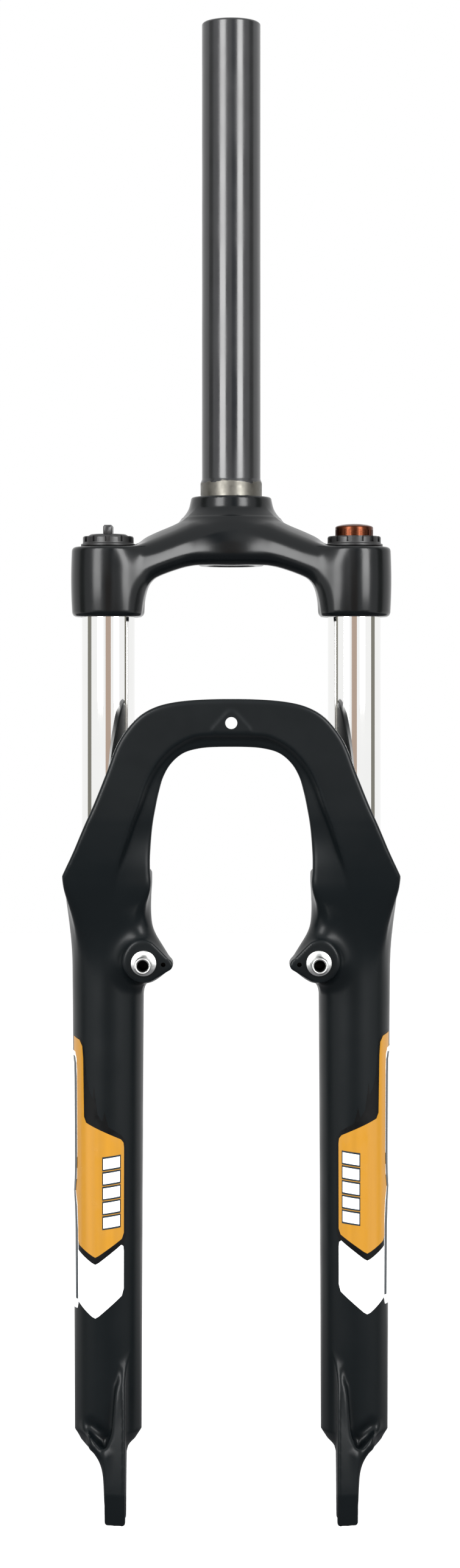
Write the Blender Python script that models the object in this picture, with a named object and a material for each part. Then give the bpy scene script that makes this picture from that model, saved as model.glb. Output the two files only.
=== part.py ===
"""A bicycle suspension fork: coil spring in one leg, lockout damper in the other.

Metres, +Z up the steerer, front towards -Y, the rider's left leg at +X.
The origin is on the steerer's axis, level with the crown's top.
"""

import math

import bmesh
import bpy
from mathutils import Matrix

# Standard sizes of a fork for a 26 inch wheel
STEERER_R = 0.0143
RACE_SEAT_R = 0.0150
STANCHION_R = 0.0127
HUB_WIDTH = 0.100
AXLE_SLOT = 0.009
LEG_X = 0.059
CROWN_OFFSET = 0.028
AXLE_Y = -0.042
AXLE_Z = -0.482

# Heights
STEERER_TOP = 0.232
RACE_SEAT_TOP = 0.0068
CROWN_LEG_TOP = -0.0256
CROWN_LEG_BOTTOM = -0.0592
CROWN_BASE = -0.0347
STANCHION_FOOT = -0.352
LOWERS_TOP = -0.181
LEG_FLOOR = -0.441
LEG_STRAIGHT_END = -0.4484
LEG_END = -0.4573
BRAKE_Z = -0.2235
DROPOUT_TIP = -0.492

# Radii and widths
STEERER_BORE_R = 0.0120
CROWN_LEG_R = 0.0178
CROWN_BOSS_R = 0.0195
STANCHION_BORE_R = 0.0111
LEG_BORE_R = 0.0145
COLLAR_R = 0.0208
LEG_TOP_R = 0.0171
LEG_FOOT_R = 0.0160
BRAKE_X = 0.0414
BRAKE_FACE_Y = -0.052
BRAKE_BOSS_R = 0.0092
ARCH_FRONT_Y = -0.061
ARCH_BACK_Y = -0.0475
DROPOUT_THICKNESS = 0.010
SHAFT_R = 0.0030
CLEARANCE = 0.0003
FINE = 32
COARSE = 16

BLACK = (0.012, 0.013, 0.015)
CHROME = (0.80, 0.81, 0.83)
STEEL = (0.45, 0.46, 0.48)
COPPER = (0.62, 0.24, 0.08)
RUBBER = (0.02, 0.02, 0.02)
PLASTIC = (0.03, 0.03, 0.035)
NYLON = (0.75, 0.72, 0.62)


def material(name, color, roughness, metallic):
    made = bpy.data.materials.new(name)
    made.use_nodes = True
    shader = made.node_tree.nodes["Principled BSDF"]
    shader.inputs["Base Color"].default_value = (*color, 1)
    shader.inputs["Roughness"].default_value = roughness
    shader.inputs["Metallic"].default_value = metallic
    return made


def add(name, bm, color, roughness=0.4, metallic=0.0, at=(0, 0, 0), parent=None):
    """A named object with its own material, from a bmesh that this empties."""
    bmesh.ops.remove_doubles(bm, verts=bm.verts, dist=1e-6)
    bmesh.ops.recalc_face_normals(bm, faces=bm.faces)
    mesh = bpy.data.meshes.new(name)
    bm.to_mesh(mesh)
    bm.free()
    mesh.shade_smooth()
    mesh.set_sharp_from_angle(angle=math.radians(35))
    made = bpy.data.objects.new(name, mesh)
    bpy.context.scene.collection.objects.link(made)
    mesh.materials.append(material(name, color, roughness, metallic))
    made.location = at
    made.parent = parent
    return made


def pivot(name, at, parent=None):
    """An empty on a joint's axis, to which the moving pieces are parented."""
    made = bpy.data.objects.new(name, None)
    bpy.context.scene.collection.objects.link(made)
    made.location = at
    made.parent = parent
    return made


def turned(outline, steps=FINE, closed=True):
    """A bmesh turned about Z from (radius, height) points; an open outline starts and ends on the axis."""
    bm = bmesh.new()
    points = [bm.verts.new((radius, 0, height)) for radius, height in outline]
    pairs = list(zip(points, points[1:]))
    if closed:
        pairs.append((points[-1], points[0]))
    edges = [bm.edges.new(pair) for pair in pairs]
    bmesh.ops.spin(
        bm,
        geom=points + edges,
        cent=(0, 0, 0),
        axis=(0, 0, 1),
        dvec=(0, 0, 0),
        angle=math.tau,
        steps=steps,
        use_merge=False,
    )
    bmesh.ops.remove_doubles(bm, verts=bm.verts, dist=1e-6)
    return bm


def rod(radius, low, high, steps=COARSE):
    """A solid cylinder along Z."""
    return turned([(0, high), (radius, high), (radius, low), (0, low)], steps, closed=False)


def tube(outer, inner, low, high, steps=FINE):
    return turned([(outer, high), (outer, low), (inner, low), (inner, high)], steps)


def block(low, high):
    """A box between two corners."""
    bm = bmesh.new()
    bmesh.ops.create_cube(bm, size=1)
    for vert in bm.verts:
        for k in range(3):
            middle = (low[k] + high[k]) / 2
            vert.co[k] = middle + vert.co[k] * (high[k] - low[k])
    return bm


def lofted(sections):
    """A closed bmesh through rings that all have the same number of points."""
    bm = bmesh.new()
    rings = [[bm.verts.new(point) for point in section] for section in sections]
    count = len(rings[0])
    for ring, following in zip(rings, rings[1:]):
        for k in range(count):
            after = (k + 1) % count
            bm.faces.new((ring[k], ring[after], following[after], following[k]))
    bm.faces.new(rings[0])
    bm.faces.new(list(reversed(rings[-1])))
    return bm


def extruded_x(outline, low, high):
    """A plate between two values of x from an outline of (y, z) points."""
    return lofted([[(x, y, z) for y, z in outline] for x in (low, high)])


def extruded_y(outline, low, high):
    """A plate between two values of y from an outline of (x, z) points."""
    return lofted([[(x, y, z) for x, z in outline] for y in (low, high)])


def mirrored(bm):
    for vert in bm.verts:
        vert.co.x = -vert.co.x
    bmesh.ops.reverse_faces(bm, faces=bm.faces)
    return bm


def sided(bm, side):
    """The bmesh for the rider's left leg, or its mirror image for side -1."""
    return bm if side > 0 else mirrored(bm)


def moved(bm, x=0.0, y=0.0, z=0.0):
    bmesh.ops.translate(bm, verts=bm.verts, vec=(x, y, z))
    return bm


def facing_front(bm):
    """Turns a shape made along Z so that it runs along -Y."""
    for vert in bm.verts:
        x, y, z = vert.co
        vert.co = (x, -z, y)
    return bm


def arc(cx, cz, radius, start, end, steps):
    """Points on a circle, from one angle in degrees to another."""
    angles = [math.radians(start + (end - start) * k / steps) for k in range(steps + 1)]
    return [(cx + radius * math.cos(a), cz + radius * math.sin(a)) for a in angles]


def helper(bm, name):
    """A hidden object that a Boolean uses."""
    made = add(name, bm, (0.5, 0.5, 0.5))
    made.hide_render = True
    made.display_type = "WIRE"
    return made


def boolean(target, bm, operation, name):
    other = helper(bm, f"{target.name}_{name}")
    other.parent = target
    modifier = target.modifiers.new(name, "BOOLEAN")
    modifier.operation = operation
    modifier.solver = "MANIFOLD"
    modifier.object = other
    return modifier


def join(target, bm, name):
    return boolean(target, bm, "UNION", name)


def cut(target, bm, name):
    return boolean(target, bm, "DIFFERENCE", name)


def steerer_tube():
    """The steel steerer, swaged out where the crown grips it, with a pressed flange below the crown."""
    flange_top = CROWN_BASE - 0.0004 - CLEARANCE
    outline = [
        (STEERER_R - 0.0008, STEERER_TOP),
        (STEERER_R, STEERER_TOP - 0.0008),
        (STEERER_R, RACE_SEAT_TOP + 0.002),
        (RACE_SEAT_R, RACE_SEAT_TOP),
        (RACE_SEAT_R, flange_top),
        (RACE_SEAT_R + 0.001, flange_top),
        (RACE_SEAT_R + 0.001, flange_top - 0.0010),
        (RACE_SEAT_R + 0.0005, flange_top - 0.0014),
        (STEERER_BORE_R, flange_top - 0.0014),
        (STEERER_BORE_R, STEERER_TOP),
    ]
    return add("steerer_tube", turned(outline), BLACK, 0.25)


def crown_section(x, front, back, top_back, top_front, base):
    """One ring of the crown's arms, square to X, with its corners taken off."""
    chin = (base + top_front) / 2
    middle = (front + back) / 2
    return [
        (x, back, top_back - 0.004),
        (x, back - 0.003, top_back - 0.001),
        (x, middle, top_back),
        (x, front + 0.004, top_front + 0.0012),
        (x, front + 0.0005, top_front),
        (x, front, chin),
        (x, front + 0.002, base + 0.003),
        (x, front + 0.006, base),
        (x, back - 0.004, base),
        (x, back, base + 0.003),
    ]


def crown():
    """The forged crown: a boss round the steerer, two swept arms and a clamp leg round each stanchion."""
    boss = [
        (0, 0),
        (CROWN_BOSS_R, 0),
        (0.0202, -0.0037),
        (0.0210, -0.0067),
        (0.0226, -0.0097),
        (0.0230, -0.0290),
        (0.0205, CROWN_BASE + 0.0008),
        (0.0185, CROWN_BASE - 0.0004),
        (0, CROWN_BASE - 0.0004),
    ]
    made = add("crown", turned(boss, closed=False), BLACK, 0.12)
    # x, front y, back y, top at the back, top at the front, base
    half = [
        (0.0000, -0.0262, 0.0190, -0.0085, -0.0125, CROWN_BASE),
        (0.0200, -0.0322, 0.0120, -0.0098, -0.0150, CROWN_BASE),
        (0.0280, -0.0368, 0.0040, -0.0122, -0.0172, -0.0376),
        (0.0350, -0.0405, -0.0040, -0.0153, -0.0196, -0.0407),
        (0.0395, -0.0425, -0.0080, -0.0176, -0.0212, -0.0458),
        (0.0425, -0.0435, -0.0100, -0.0190, -0.0223, -0.0530),
        (0.0475, -0.0442, -0.0120, -0.0215, -0.0240, -0.0560),
    ]
    stations = [(-x, *rest) for x, *rest in reversed(half[1:])] + half
    join(made, lofted([crown_section(*station) for station in stations]), "arms")
    leg = [
        (0, CROWN_LEG_TOP + 0.0006),
        (0.0160, CROWN_LEG_TOP + 0.0006),
        (0.0174, CROWN_LEG_TOP - 0.0010),
        (CROWN_LEG_R, -0.0400),
        (0.0175, -0.0530),
        (0.0172, CROWN_LEG_BOTTOM + 0.002),
        (0.0158, CROWN_LEG_BOTTOM),
        (0, CROWN_LEG_BOTTOM),
    ]
    for side in (1, -1):
        x = side * LEG_X
        join(made, moved(turned(leg, closed=False), x, -CROWN_OFFSET), f"leg{side}")
    cut(made, rod(RACE_SEAT_R + CLEARANCE, -0.05, 0.02, FINE), "steerer_bore")
    for side in (1, -1):
        bore = rod(STANCHION_R + CLEARANCE, -0.07, -0.01, FINE)
        cut(made, moved(bore, side * LEG_X, -CROWN_OFFSET), f"leg_bore{side}")
        cap_seat = rod(0.0144, CROWN_LEG_TOP, 0.01, FINE)
        cut(made, moved(cap_seat, side * LEG_X, -CROWN_OFFSET), f"cap_seat{side}")
    return made


def stanchion(name, side):
    """A chromed tube pressed into the crown, open at both ends."""
    top = CROWN_LEG_TOP - 0.0004
    outline = [
        (STANCHION_R, top),
        (STANCHION_R, STANCHION_FOOT + 0.001),
        (STANCHION_R - 0.0006, STANCHION_FOOT),
        (STANCHION_BORE_R, STANCHION_FOOT),
        (STANCHION_BORE_R, top),
    ]
    return add(name, turned(outline), CHROME, 0.05, 1.0, at=(side * LEG_X, -CROWN_OFFSET, 0))


def notches(radius, top, count):
    """The wrench notches round a top cap's head, as one bmesh of separate blocks."""
    bm = bmesh.new()
    size = (0.0040, 0.0022, 0.0050)
    for k in range(count):
        turn = Matrix.Rotation(math.tau * k / count, 4, "Z")
        place = Matrix.Translation((radius + 0.0008, 0, top - 0.0005))
        bmesh.ops.create_cube(bm, size=1, matrix=turn @ place @ Matrix.Diagonal((*size, 1)))
    return bm


def top_cap(name, side, head_r, head_top, plug_foot, well_r, well_floor, skirt):
    """A plug in a stanchion's top: notched head, round well, and a skirt below on the spring side."""
    seat = CROWN_LEG_TOP + CLEARANCE
    plug_r = STANCHION_BORE_R - CLEARANCE
    hole_r = SHAFT_R + CLEARANCE
    outline = [
        (well_r, head_top),
        (head_r - 0.0008, head_top),
        (head_r, head_top - 0.0008),
        (head_r, seat + 0.0014),
        (head_r + 0.0009, seat + 0.0012),
        (head_r + 0.0009, seat),
        (plug_r, seat),
        (plug_r, plug_foot + 0.0046),
        (plug_r - 0.0014, plug_foot + 0.0046),
        (plug_r - 0.0014, plug_foot + 0.0022),
        (plug_r, plug_foot + 0.0022),
        (plug_r, plug_foot),
    ]
    if skirt:
        outline += [
            (plug_r, plug_foot - skirt),
            (0.0080, plug_foot - skirt),
            (0.0080, plug_foot + 0.004),
            (hole_r, plug_foot + 0.004),
        ]
    else:
        outline += [(hole_r, plug_foot)]
    outline += [(hole_r, well_floor), (well_r, well_floor)]
    made = add(name, turned(outline, 24), PLASTIC, 0.35, at=(side * LEG_X, -CROWN_OFFSET, 0))
    cut(made, notches(head_r, head_top, 10), "notches")
    return made


def seal_ring(name, side, height):
    """The O-ring in a top cap's groove."""
    plug_r = STANCHION_BORE_R - CLEARANCE
    ring = tube(plug_r - 0.0001, plug_r - 0.0011, height - 0.0009, height + 0.0009, COARSE)
    return add(name, ring, RUBBER, 0.6, at=(side * LEG_X, -CROWN_OFFSET, 0))


def preload_parts(upper):
    """The left leg's top: cap, coloured knob on its screw, and the nut that the screw drives down."""
    cap = top_cap("preload_cap", 1, 0.0128, -0.0205, -0.0340, 0.0098, -0.0232, 0.010)
    cap.parent = upper
    ear_slots = block((-0.0115, -0.0023, -0.0460), (0.0115, 0.0023, -0.0330))
    cut(cap, ear_slots, "ear_slots")
    seal_ring("preload_cap_seal", 1, -0.0306).parent = upper
    axis = pivot("preload_knob_axis", (LEG_X, -CROWN_OFFSET, 0), upper)
    knob = [
        (0, -0.0145),
        (0.0060, -0.0146),
        (0.0082, -0.0150),
        (0.0091, -0.0160),
        (0.0091, -0.0226),
        (0.0086, -0.0229),
        (0, -0.0229),
    ]
    made = add("preload_knob", turned(knob, 24, closed=False), COPPER, 0.25, 1.0, parent=axis)
    cut(made, rod(0.0022, -0.030, -0.0170), "screw_socket")
    screw = [
        (0, -0.0174),
        (0.0019, -0.0174),
        (0.0019, -0.0232),
        (SHAFT_R, -0.0234),
        (SHAFT_R, -0.0620),
        (0, -0.0620),
    ]
    add("preload_screw", turned(screw, COARSE, closed=False), STEEL, 0.3, 1.0, parent=axis)
    nut_axis = pivot("preload_nut_axis", (LEG_X, -CROWN_OFFSET, 0), upper)
    hole_r = SHAFT_R + CLEARANCE
    nut_outline = [
        (0.0076, -0.0345),
        (0.0076, -0.0480),
        (0.0106, -0.0480),
        (0.0106, -0.0520),
        (0.0055, -0.0520),
        (0.0055, -0.0560),
        (hole_r, -0.0560),
        (hole_r, -0.0345),
    ]
    nut = add("preload_nut", turned(nut_outline, 24), NYLON, 0.5, parent=nut_axis)
    for side in (1, -1):
        ear = moved(block((-0.0018, -0.0019, -0.0400), (0.0018, 0.0019, -0.0350)), side * 0.0090)
        join(nut, ear, f"ear{side}")


def lockout_parts(upper):
    """The right leg's top: cap, lever disc with its finger tab, and the spindle to the damper valve."""
    cap = top_cap("lockout_cap", -1, 0.0122, -0.0205, -0.0400, 0.0099, -0.0236, 0)
    cap.parent = upper
    seal_ring("lockout_cap_seal", -1, -0.0366).parent = upper
    axis = pivot("lockout_lever_axis", (-LEG_X, -CROWN_OFFSET, 0), upper)
    disc = [
        (0, -0.0195),
        (0.0088, -0.0195),
        (0.0095, -0.0202),
        (0.0095, -0.0233),
        (0, -0.0233),
    ]
    lever = add("lockout_lever", turned(disc, 24, closed=False), PLASTIC, 0.35, parent=axis)
    tab = block((-0.0025, -0.0082, -0.0215), (0.0025, 0.0082, -0.0153))
    join(lever, tab, "tab")
    cut(lever, rod(0.0022, -0.030, -0.0180), "spindle_socket")
    spindle = [
        (0, -0.0184),
        (0.0019, -0.0184),
        (0.0019, -0.0236),
        (SHAFT_R, -0.0238),
        (SHAFT_R, -0.0600),
        (0.0060, -0.0600),
        (0.0060, -0.0630),
        (0, -0.0630),
    ]
    add("lockout_spindle", turned(spindle, COARSE, closed=False), STEEL, 0.3, 1.0, parent=axis)


def coil(wire_r, coil_r, low, high, turns, per_turn, sides):
    """A spring wire along a helix whose end turns lie closer together."""
    rings = []
    steps = turns * per_turn
    for k in range(steps + 1):
        along = k / steps
        eased = along - 0.077 * math.sin(math.tau * along)
        height = low + wire_r + (high - low - 2 * wire_r) * eased
        angle = math.tau * k / per_turn
        outward = (math.cos(angle), math.sin(angle))
        ring = []
        for s in range(sides):
            around = math.tau * (s + 0.5) / sides
            reach = coil_r + wire_r * math.cos(around)
            ring.append((outward[0] * reach, outward[1] * reach, height + wire_r * math.sin(around)))
        rings.append(ring)
    return lofted(rings)


def spring_side(upper, lowers):
    """The left leg's spring, the rod that carries it and the rod's guide in the stanchion."""
    place = (LEG_X, -CROWN_OFFSET, 0)
    wire = coil(0.0019, 0.0083, -0.3298, -0.0524, 12, 10, 5)
    add("coil_spring", wire, STEEL, 0.3, 1.0, at=place, parent=upper)
    foot = STANCHION_FOOT
    rod_r = 0.0050
    guide = [
        (STANCHION_BORE_R - CLEARANCE, foot + 0.010),
        (STANCHION_BORE_R - CLEARANCE, foot - CLEARANCE),
        (STANCHION_R - 0.0010, foot - CLEARANCE),
        (STANCHION_R - 0.0010, foot - 0.0020),
        (rod_r + CLEARANCE, foot - 0.0020),
        (rod_r + CLEARANCE, foot + 0.010),
    ]
    add("spring_rod_guide", turned(guide, 24), NYLON, 0.5, at=place, parent=upper)
    plunger = [
        (0, -0.3240),
        (0.0050, -0.3240),
        (0.0055, -0.3250),
        (0.0055, -0.3302),
        (0.0104, -0.3302),
        (0.0104, -0.3360),
        (rod_r, -0.3360),
        (rod_r, LEG_FLOOR + CLEARANCE),
        (0.0033, LEG_FLOOR + CLEARANCE),
        (0.0033, LEG_FLOOR + 0.0180),
        (0, LEG_FLOOR + 0.0180),
    ]
    add("spring_rod", turned(plunger, COARSE, closed=False), STEEL, 0.3, 1.0, at=place, parent=lowers)
    bumper = tube(0.0085, rod_r + CLEARANCE, foot + 0.0103, -0.3363, COARSE)
    add("top_out_bumper", bumper, RUBBER, 0.6, at=place, parent=lowers)


def damper_side(upper, lowers):
    """The right leg's damper: a cartridge in the stanchion, its seal head and the piston rod."""
    place = (-LEG_X, -CROWN_OFFSET, 0)
    shell_r = STANCHION_BORE_R - 0.0004
    inner_r = shell_r - 0.0012
    cartridge = [
        (0.0066, -0.0540),
        (shell_r, -0.0540),
        (shell_r, -0.3300),
        (inner_r, -0.3300),
        (inner_r, -0.0640),
        (0.0066, -0.0640),
    ]
    add("damper_cartridge", turned(cartridge, 24), STEEL, 0.3, 1.0, at=place, parent=upper)
    rod_r = 0.0050
    head = [
        (inner_r - CLEARANCE, -0.3200),
        (inner_r - CLEARANCE, -0.3303),
        (shell_r, -0.3303),
        (shell_r, STANCHION_FOOT - CLEARANCE),
        (STANCHION_R - 0.0010, STANCHION_FOOT - CLEARANCE),
        (STANCHION_R - 0.0010, STANCHION_FOOT - 0.0020),
        (rod_r + CLEARANCE, STANCHION_FOOT - 0.0020),
        (rod_r + CLEARANCE, -0.3200),
    ]
    add("damper_seal_head", turned(head, 24), NYLON, 0.5, at=place, parent=upper)
    piston = [
        (0, -0.2920),
        (rod_r, -0.2920),
        (rod_r, -0.2990),
        (inner_r - CLEARANCE, -0.2990),
        (inner_r - CLEARANCE, -0.3080),
        (rod_r, -0.3080),
        (rod_r, LEG_FLOOR + CLEARANCE),
        (0.0033, LEG_FLOOR + CLEARANCE),
        (0.0033, LEG_FLOOR + 0.0180),
        (0, LEG_FLOOR + 0.0180),
    ]
    add("damper_rod", turned(piston, COARSE, closed=False), STEEL, 0.25, 1.0, at=place, parent=lowers)


# The arch from the front: (x, z) on its outer edge, ridge and inner edge, from the crest outwards
ARCH = [
    ((0.0000, -0.0984), (0.0000, -0.1148), (0.0000, -0.1214)),
    ((0.0130, -0.0990), (0.0120, -0.1148), (0.0120, -0.1218)),
    ((0.0250, -0.1003), (0.0205, -0.1167), (0.0215, -0.1240)),
    ((0.0355, -0.1020), (0.0270, -0.1204), (0.0275, -0.1282)),
    ((0.0430, -0.1060), (0.0320, -0.1245), (0.0312, -0.1335)),
    ((0.0494, -0.1140), (0.0372, -0.1315), (0.0335, -0.1405)),
    ((0.0544, -0.1210), (0.0410, -0.1390), (0.0351, -0.1480)),
    ((0.0590, -0.1355), (0.0443, -0.1490), (0.0365, -0.1560)),
    ((0.0650, -0.1480), (0.0476, -0.1570), (0.0375, -0.1630)),
    ((0.0697, -0.1590), (0.0509, -0.1670), (0.0381, -0.1710)),
    ((0.0746, -0.1710), (0.0540, -0.1770), (0.0382, -0.1790)),
    ((0.0795, -0.1820), (0.0560, -0.1860), (0.0378, -0.1870)),
]


def arch_section(outer, ridge, inner, front, back):
    """One ring of the arch: a flat face as far as the ridge, then one sloping back to the inner edge."""
    return [
        (outer[0], front + 0.0030, outer[1]),
        ((outer[0] * 7 + ridge[0]) / 8, front, (outer[1] * 7 + ridge[1]) / 8),
        (ridge[0], front, ridge[1]),
        (inner[0], front + 0.0070, inner[1]),
        (inner[0], back, inner[1]),
        (outer[0], back, outer[1]),
    ]


def arch():
    """The brace over the wheel that ties the two legs together."""
    sections = []
    last = len(ARCH) - 1
    for k, (outer, ridge, inner) in enumerate(ARCH):
        share = max(0, (k - 6) / (last - 6))
        front = ARCH_FRONT_Y + 0.0060 * share**2
        sections.append(arch_section(outer, ridge, inner, front, ARCH_BACK_Y))
    root = ((0.0780, -0.2040), (0.0580, -0.2080), (0.0386, -0.2080))
    sections.append(arch_section(*root, -0.0475, -0.0340))
    other = [[(-x, y, z) for x, y, z in section] for section in reversed(sections[1:])]
    return lofted(other + sections)


def brake_boss():
    """The teardrop pad that carries a brake stud, with the spring hole's ear towards the wheel."""
    ear_x = 0.0308
    ear_z = BRAKE_Z - 0.0008
    ear_r = 0.0030
    round_end = arc(BRAKE_X, BRAKE_Z, BRAKE_BOSS_R, 118, -118, 20)
    ear_end = arc(ear_x, ear_z, ear_r, 244, 116, 8)
    return extruded_y(round_end + ear_end, BRAKE_FACE_Y, -0.0400)


def boss_neck():
    """The round neck from a brake boss back into the leg."""
    return moved(facing_front(rod(BRAKE_BOSS_R - 0.0004, 0.020, 0.0505, 32)), BRAKE_X, 0, BRAKE_Z)


def boss_fairing():
    """The rib that runs up from a brake boss and fades into the leg."""
    stations = [
        (-0.2240, 0.0082, BRAKE_FACE_Y + 0.0010),
        (-0.2120, 0.0070, BRAKE_FACE_Y + 0.0015),
        (-0.2020, 0.0050, -0.0480),
        (-0.1900, 0.0030, -0.0440),
    ]
    rings = []
    for z, half, front in stations:
        middle = BRAKE_X + (z - BRAKE_Z) * 0.14 - 0.0007
        rings.append(
            [
                (middle - half, front + 0.003, z),
                (middle - half * 0.5, front, z),
                (middle + half * 0.5, front, z),
                (middle + half, front + 0.003, z),
                (middle + half, -0.0240, z),
                (middle - half * 0.4, -0.0240, z),
            ]
        )
    return lofted(rings)


def dropout():
    """One fork end: a plate with the axle slot open downwards, and its rib up the leg's front."""
    inside = HUB_WIDTH / 2
    slot_r = AXLE_SLOT / 2
    front_edge = [
        (-0.0430, -0.4060),
        (-0.0475, -0.4200),
        (-0.0520, -0.4480),
        (-0.0545, -0.4680),
        (-0.0545, -0.4790),
        (-0.0535, -0.4850),
        (-0.0505, DROPOUT_TIP),
    ]
    slot = [(AXLE_Y - slot_r, DROPOUT_TIP)]
    slot += arc(AXLE_Y, AXLE_Z, slot_r, 180, 0, 12)
    slot += [(AXLE_Y + slot_r, DROPOUT_TIP)]
    back_edge = [
        (-0.0340, DROPOUT_TIP),
        (-0.0305, -0.4860),
        (-0.0295, -0.4780),
        (-0.0270, -0.4680),
        (-0.0235, -0.4600),
        (-0.0235, -0.4530),
        (-0.0300, -0.4300),
    ]
    outline = front_edge + slot + back_edge
    return extruded_x(outline, inside, inside + DROPOUT_THICKNESS)


def gusset():
    """The web that braces a dropout outwards to the leg's rounded foot."""
    rings = []
    high, back = -0.4440, -0.0360
    for x, low in ((0.0590, -0.4680), (0.0620, -0.4635), (0.0668, -0.4575)):
        middle = (low + high) / 2
        outline = ((-0.0450, high), (-0.0470, middle), (-0.0440, low), (back, low), (back, high))
        rings.append([(x, y, z) for y, z in outline])
    return lofted(rings)


def lower_leg():
    """One leg's outer shape, turned: a flared collar, a long taper and a coned foot."""
    outline = [
        (0, LOWERS_TOP),
        (COLLAR_R - 0.0012, LOWERS_TOP),
        (COLLAR_R, LOWERS_TOP - 0.0012),
        (COLLAR_R, -0.1850),
        (0.0205, -0.1905),
        (0.0196, -0.1970),
        (0.0185, -0.2045),
        (0.0177, -0.2130),
        (0.0172, -0.2240),
        (LEG_TOP_R, -0.2350),
        (LEG_FOOT_R, LEG_STRAIGHT_END),
        (0.0130, -0.4530),
        (0.0102, -0.4557),
        (0.0086, LEG_END),
        (0, LEG_END),
    ]
    return turned(outline, closed=False)


def leg_bore():
    """What is cut from a leg: wiper seat, long bore, foot bolt's hole and its recess."""
    outline = [
        (0, LOWERS_TOP + 0.01),
        (0.0180, LOWERS_TOP + 0.01),
        (0.0180, -0.1872),
        (LEG_BORE_R, -0.1872),
        (LEG_BORE_R, LEG_FLOOR + 0.003),
        (LEG_BORE_R - 0.003, LEG_FLOOR),
        (0.0033, LEG_FLOOR),
        (0.0033, -0.4500),
        (0.0060, -0.4500),
        (0.0060, LEG_END - 0.01),
        (0, LEG_END - 0.01),
    ]
    return turned(outline, closed=False)


def lowers_casting(lowers):
    """Both lower legs, the arch, the brake bosses and the dropouts, cast as one piece."""
    made = add("lowers_casting", moved(lower_leg(), LEG_X, -CROWN_OFFSET), BLACK, 0.3, parent=lowers)
    join(made, moved(lower_leg(), -LEG_X, -CROWN_OFFSET), "right_leg")
    join(made, arch(), "arch")
    for side in (1, -1):
        join(made, sided(brake_boss(), side), f"boss{side}")
        join(made, sided(boss_neck(), side), f"neck{side}")
        join(made, sided(boss_fairing(), side), f"fairing{side}")
        join(made, sided(dropout(), side), f"dropout{side}")
        join(made, sided(gusset(), side), f"gusset{side}")
    tread_hole = moved(facing_front(rod(0.00285, 0.040, 0.070, 20)), 0, 0, -0.1099)
    cut(made, tread_hole, "arch_hole")
    for side in (1, -1):
        cut(made, moved(leg_bore(), side * LEG_X, -CROWN_OFFSET), f"bore{side}")
        stud_hole = facing_front(rod(0.0040 + CLEARANCE, 0.0400, 0.060, COARSE))
        cut(made, moved(stud_hole, side * BRAKE_X, 0, BRAKE_Z), f"stud_hole{side}")
        spring_hole = facing_front(rod(0.0011, 0.030, 0.060, 12))
        cut(made, moved(spring_hole, side * 0.0322, 0, BRAKE_Z - 0.0008), f"spring_hole{side}")
    return made


def leg_fittings(name, side, lowers):
    """What one leg holds: wiper, bushings, brake stud, bumper, foot bolt and its washer."""
    place = (side * LEG_X, -CROWN_OFFSET, 0)
    wiper = [
        (0.0137, -0.1755),
        (0.0165, -0.1765),
        (0.0192, -0.1790),
        (0.0192, LOWERS_TOP + CLEARANCE),
        (0.0177, LOWERS_TOP + CLEARANCE),
        (0.0177, -0.1869),
        (0.0150, -0.1869),
        (0.0150, -0.1800),
        (0.0130, -0.1780),
        (0.0130, -0.1755),
    ]
    add(f"dust_wiper_{name}", turned(wiper, COARSE + 8), RUBBER, 0.6, at=place, parent=lowers)
    bush_outer = LEG_BORE_R - CLEARANCE
    bush_inner = STANCHION_R + CLEARANCE
    for label, top in (("upper", -0.1880), ("lower", -0.2900)):
        ring = tube(bush_outer, bush_inner, top - 0.020, top, COARSE + 8)
        add(f"{label}_bushing_{name}", ring, NYLON, 0.5, at=place, parent=lowers)
    stud = [
        (0, 0.0410),
        (0.0040, 0.0410),
        (0.0040, -BRAKE_FACE_Y + CLEARANCE),
        (0.0060, -BRAKE_FACE_Y + CLEARANCE),
        (0.0060, 0.0546),
        (0.0040, 0.0550),
        (0.0040, 0.0700),
        (0.0036, 0.0706),
        (0.0026, 0.0706),
        (0.0026, 0.0560),
        (0, 0.0560),
    ]
    bm = facing_front(turned(stud, COARSE, closed=False))
    add(f"brake_stud_{name}", bm, STEEL, 0.25, 1.0, at=(side * BRAKE_X, 0, BRAKE_Z), parent=lowers)
    bumper = tube(0.0105, 0.0053, LEG_FLOOR + CLEARANCE, LEG_FLOOR + 0.0065, COARSE)
    add(f"bottom_out_bumper_{name}", bumper, RUBBER, 0.6, at=place, parent=lowers)
    washer = tube(0.0056, 0.0034, -0.4514, -0.4503, COARSE)
    add(f"foot_washer_{name}", washer, STEEL, 0.4, 1.0, at=place, parent=lowers)
    bolt = [
        (0, LEG_FLOOR + 0.0165),
        (0.0030, LEG_FLOOR + 0.0165),
        (0.0030, -0.4517),
        (0.0050, -0.4517),
        (0.0050, -0.4570),
        (0.0025, -0.4570),
        (0.0025, -0.4540),
        (0, -0.4540),
    ]
    add(f"foot_bolt_{name}", turned(bolt, COARSE, closed=False), STEEL, 0.3, 1.0, at=place, parent=lowers)


def main():
    for old in list(bpy.data.objects):
        bpy.data.objects.remove(old)
    upper = pivot("upper", (0, 0, 0))
    lowers = pivot("lowers", (0, 0, 0), upper)
    steerer_tube().parent = upper
    crown().parent = upper
    stanchion("stanchion_left", 1).parent = upper
    stanchion("stanchion_right", -1).parent = upper
    preload_parts(upper)
    lockout_parts(upper)
    spring_side(upper, lowers)
    damper_side(upper, lowers)
    lowers_casting(lowers)
    leg_fittings("left", 1, lowers)
    leg_fittings("right", -1, lowers)


main()
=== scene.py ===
"""The finished look of a bicycle suspension fork, built round its CAD frame."""

import math

import bmesh
import bpy
import numpy as np
from mathutils import Matrix, Vector


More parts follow.
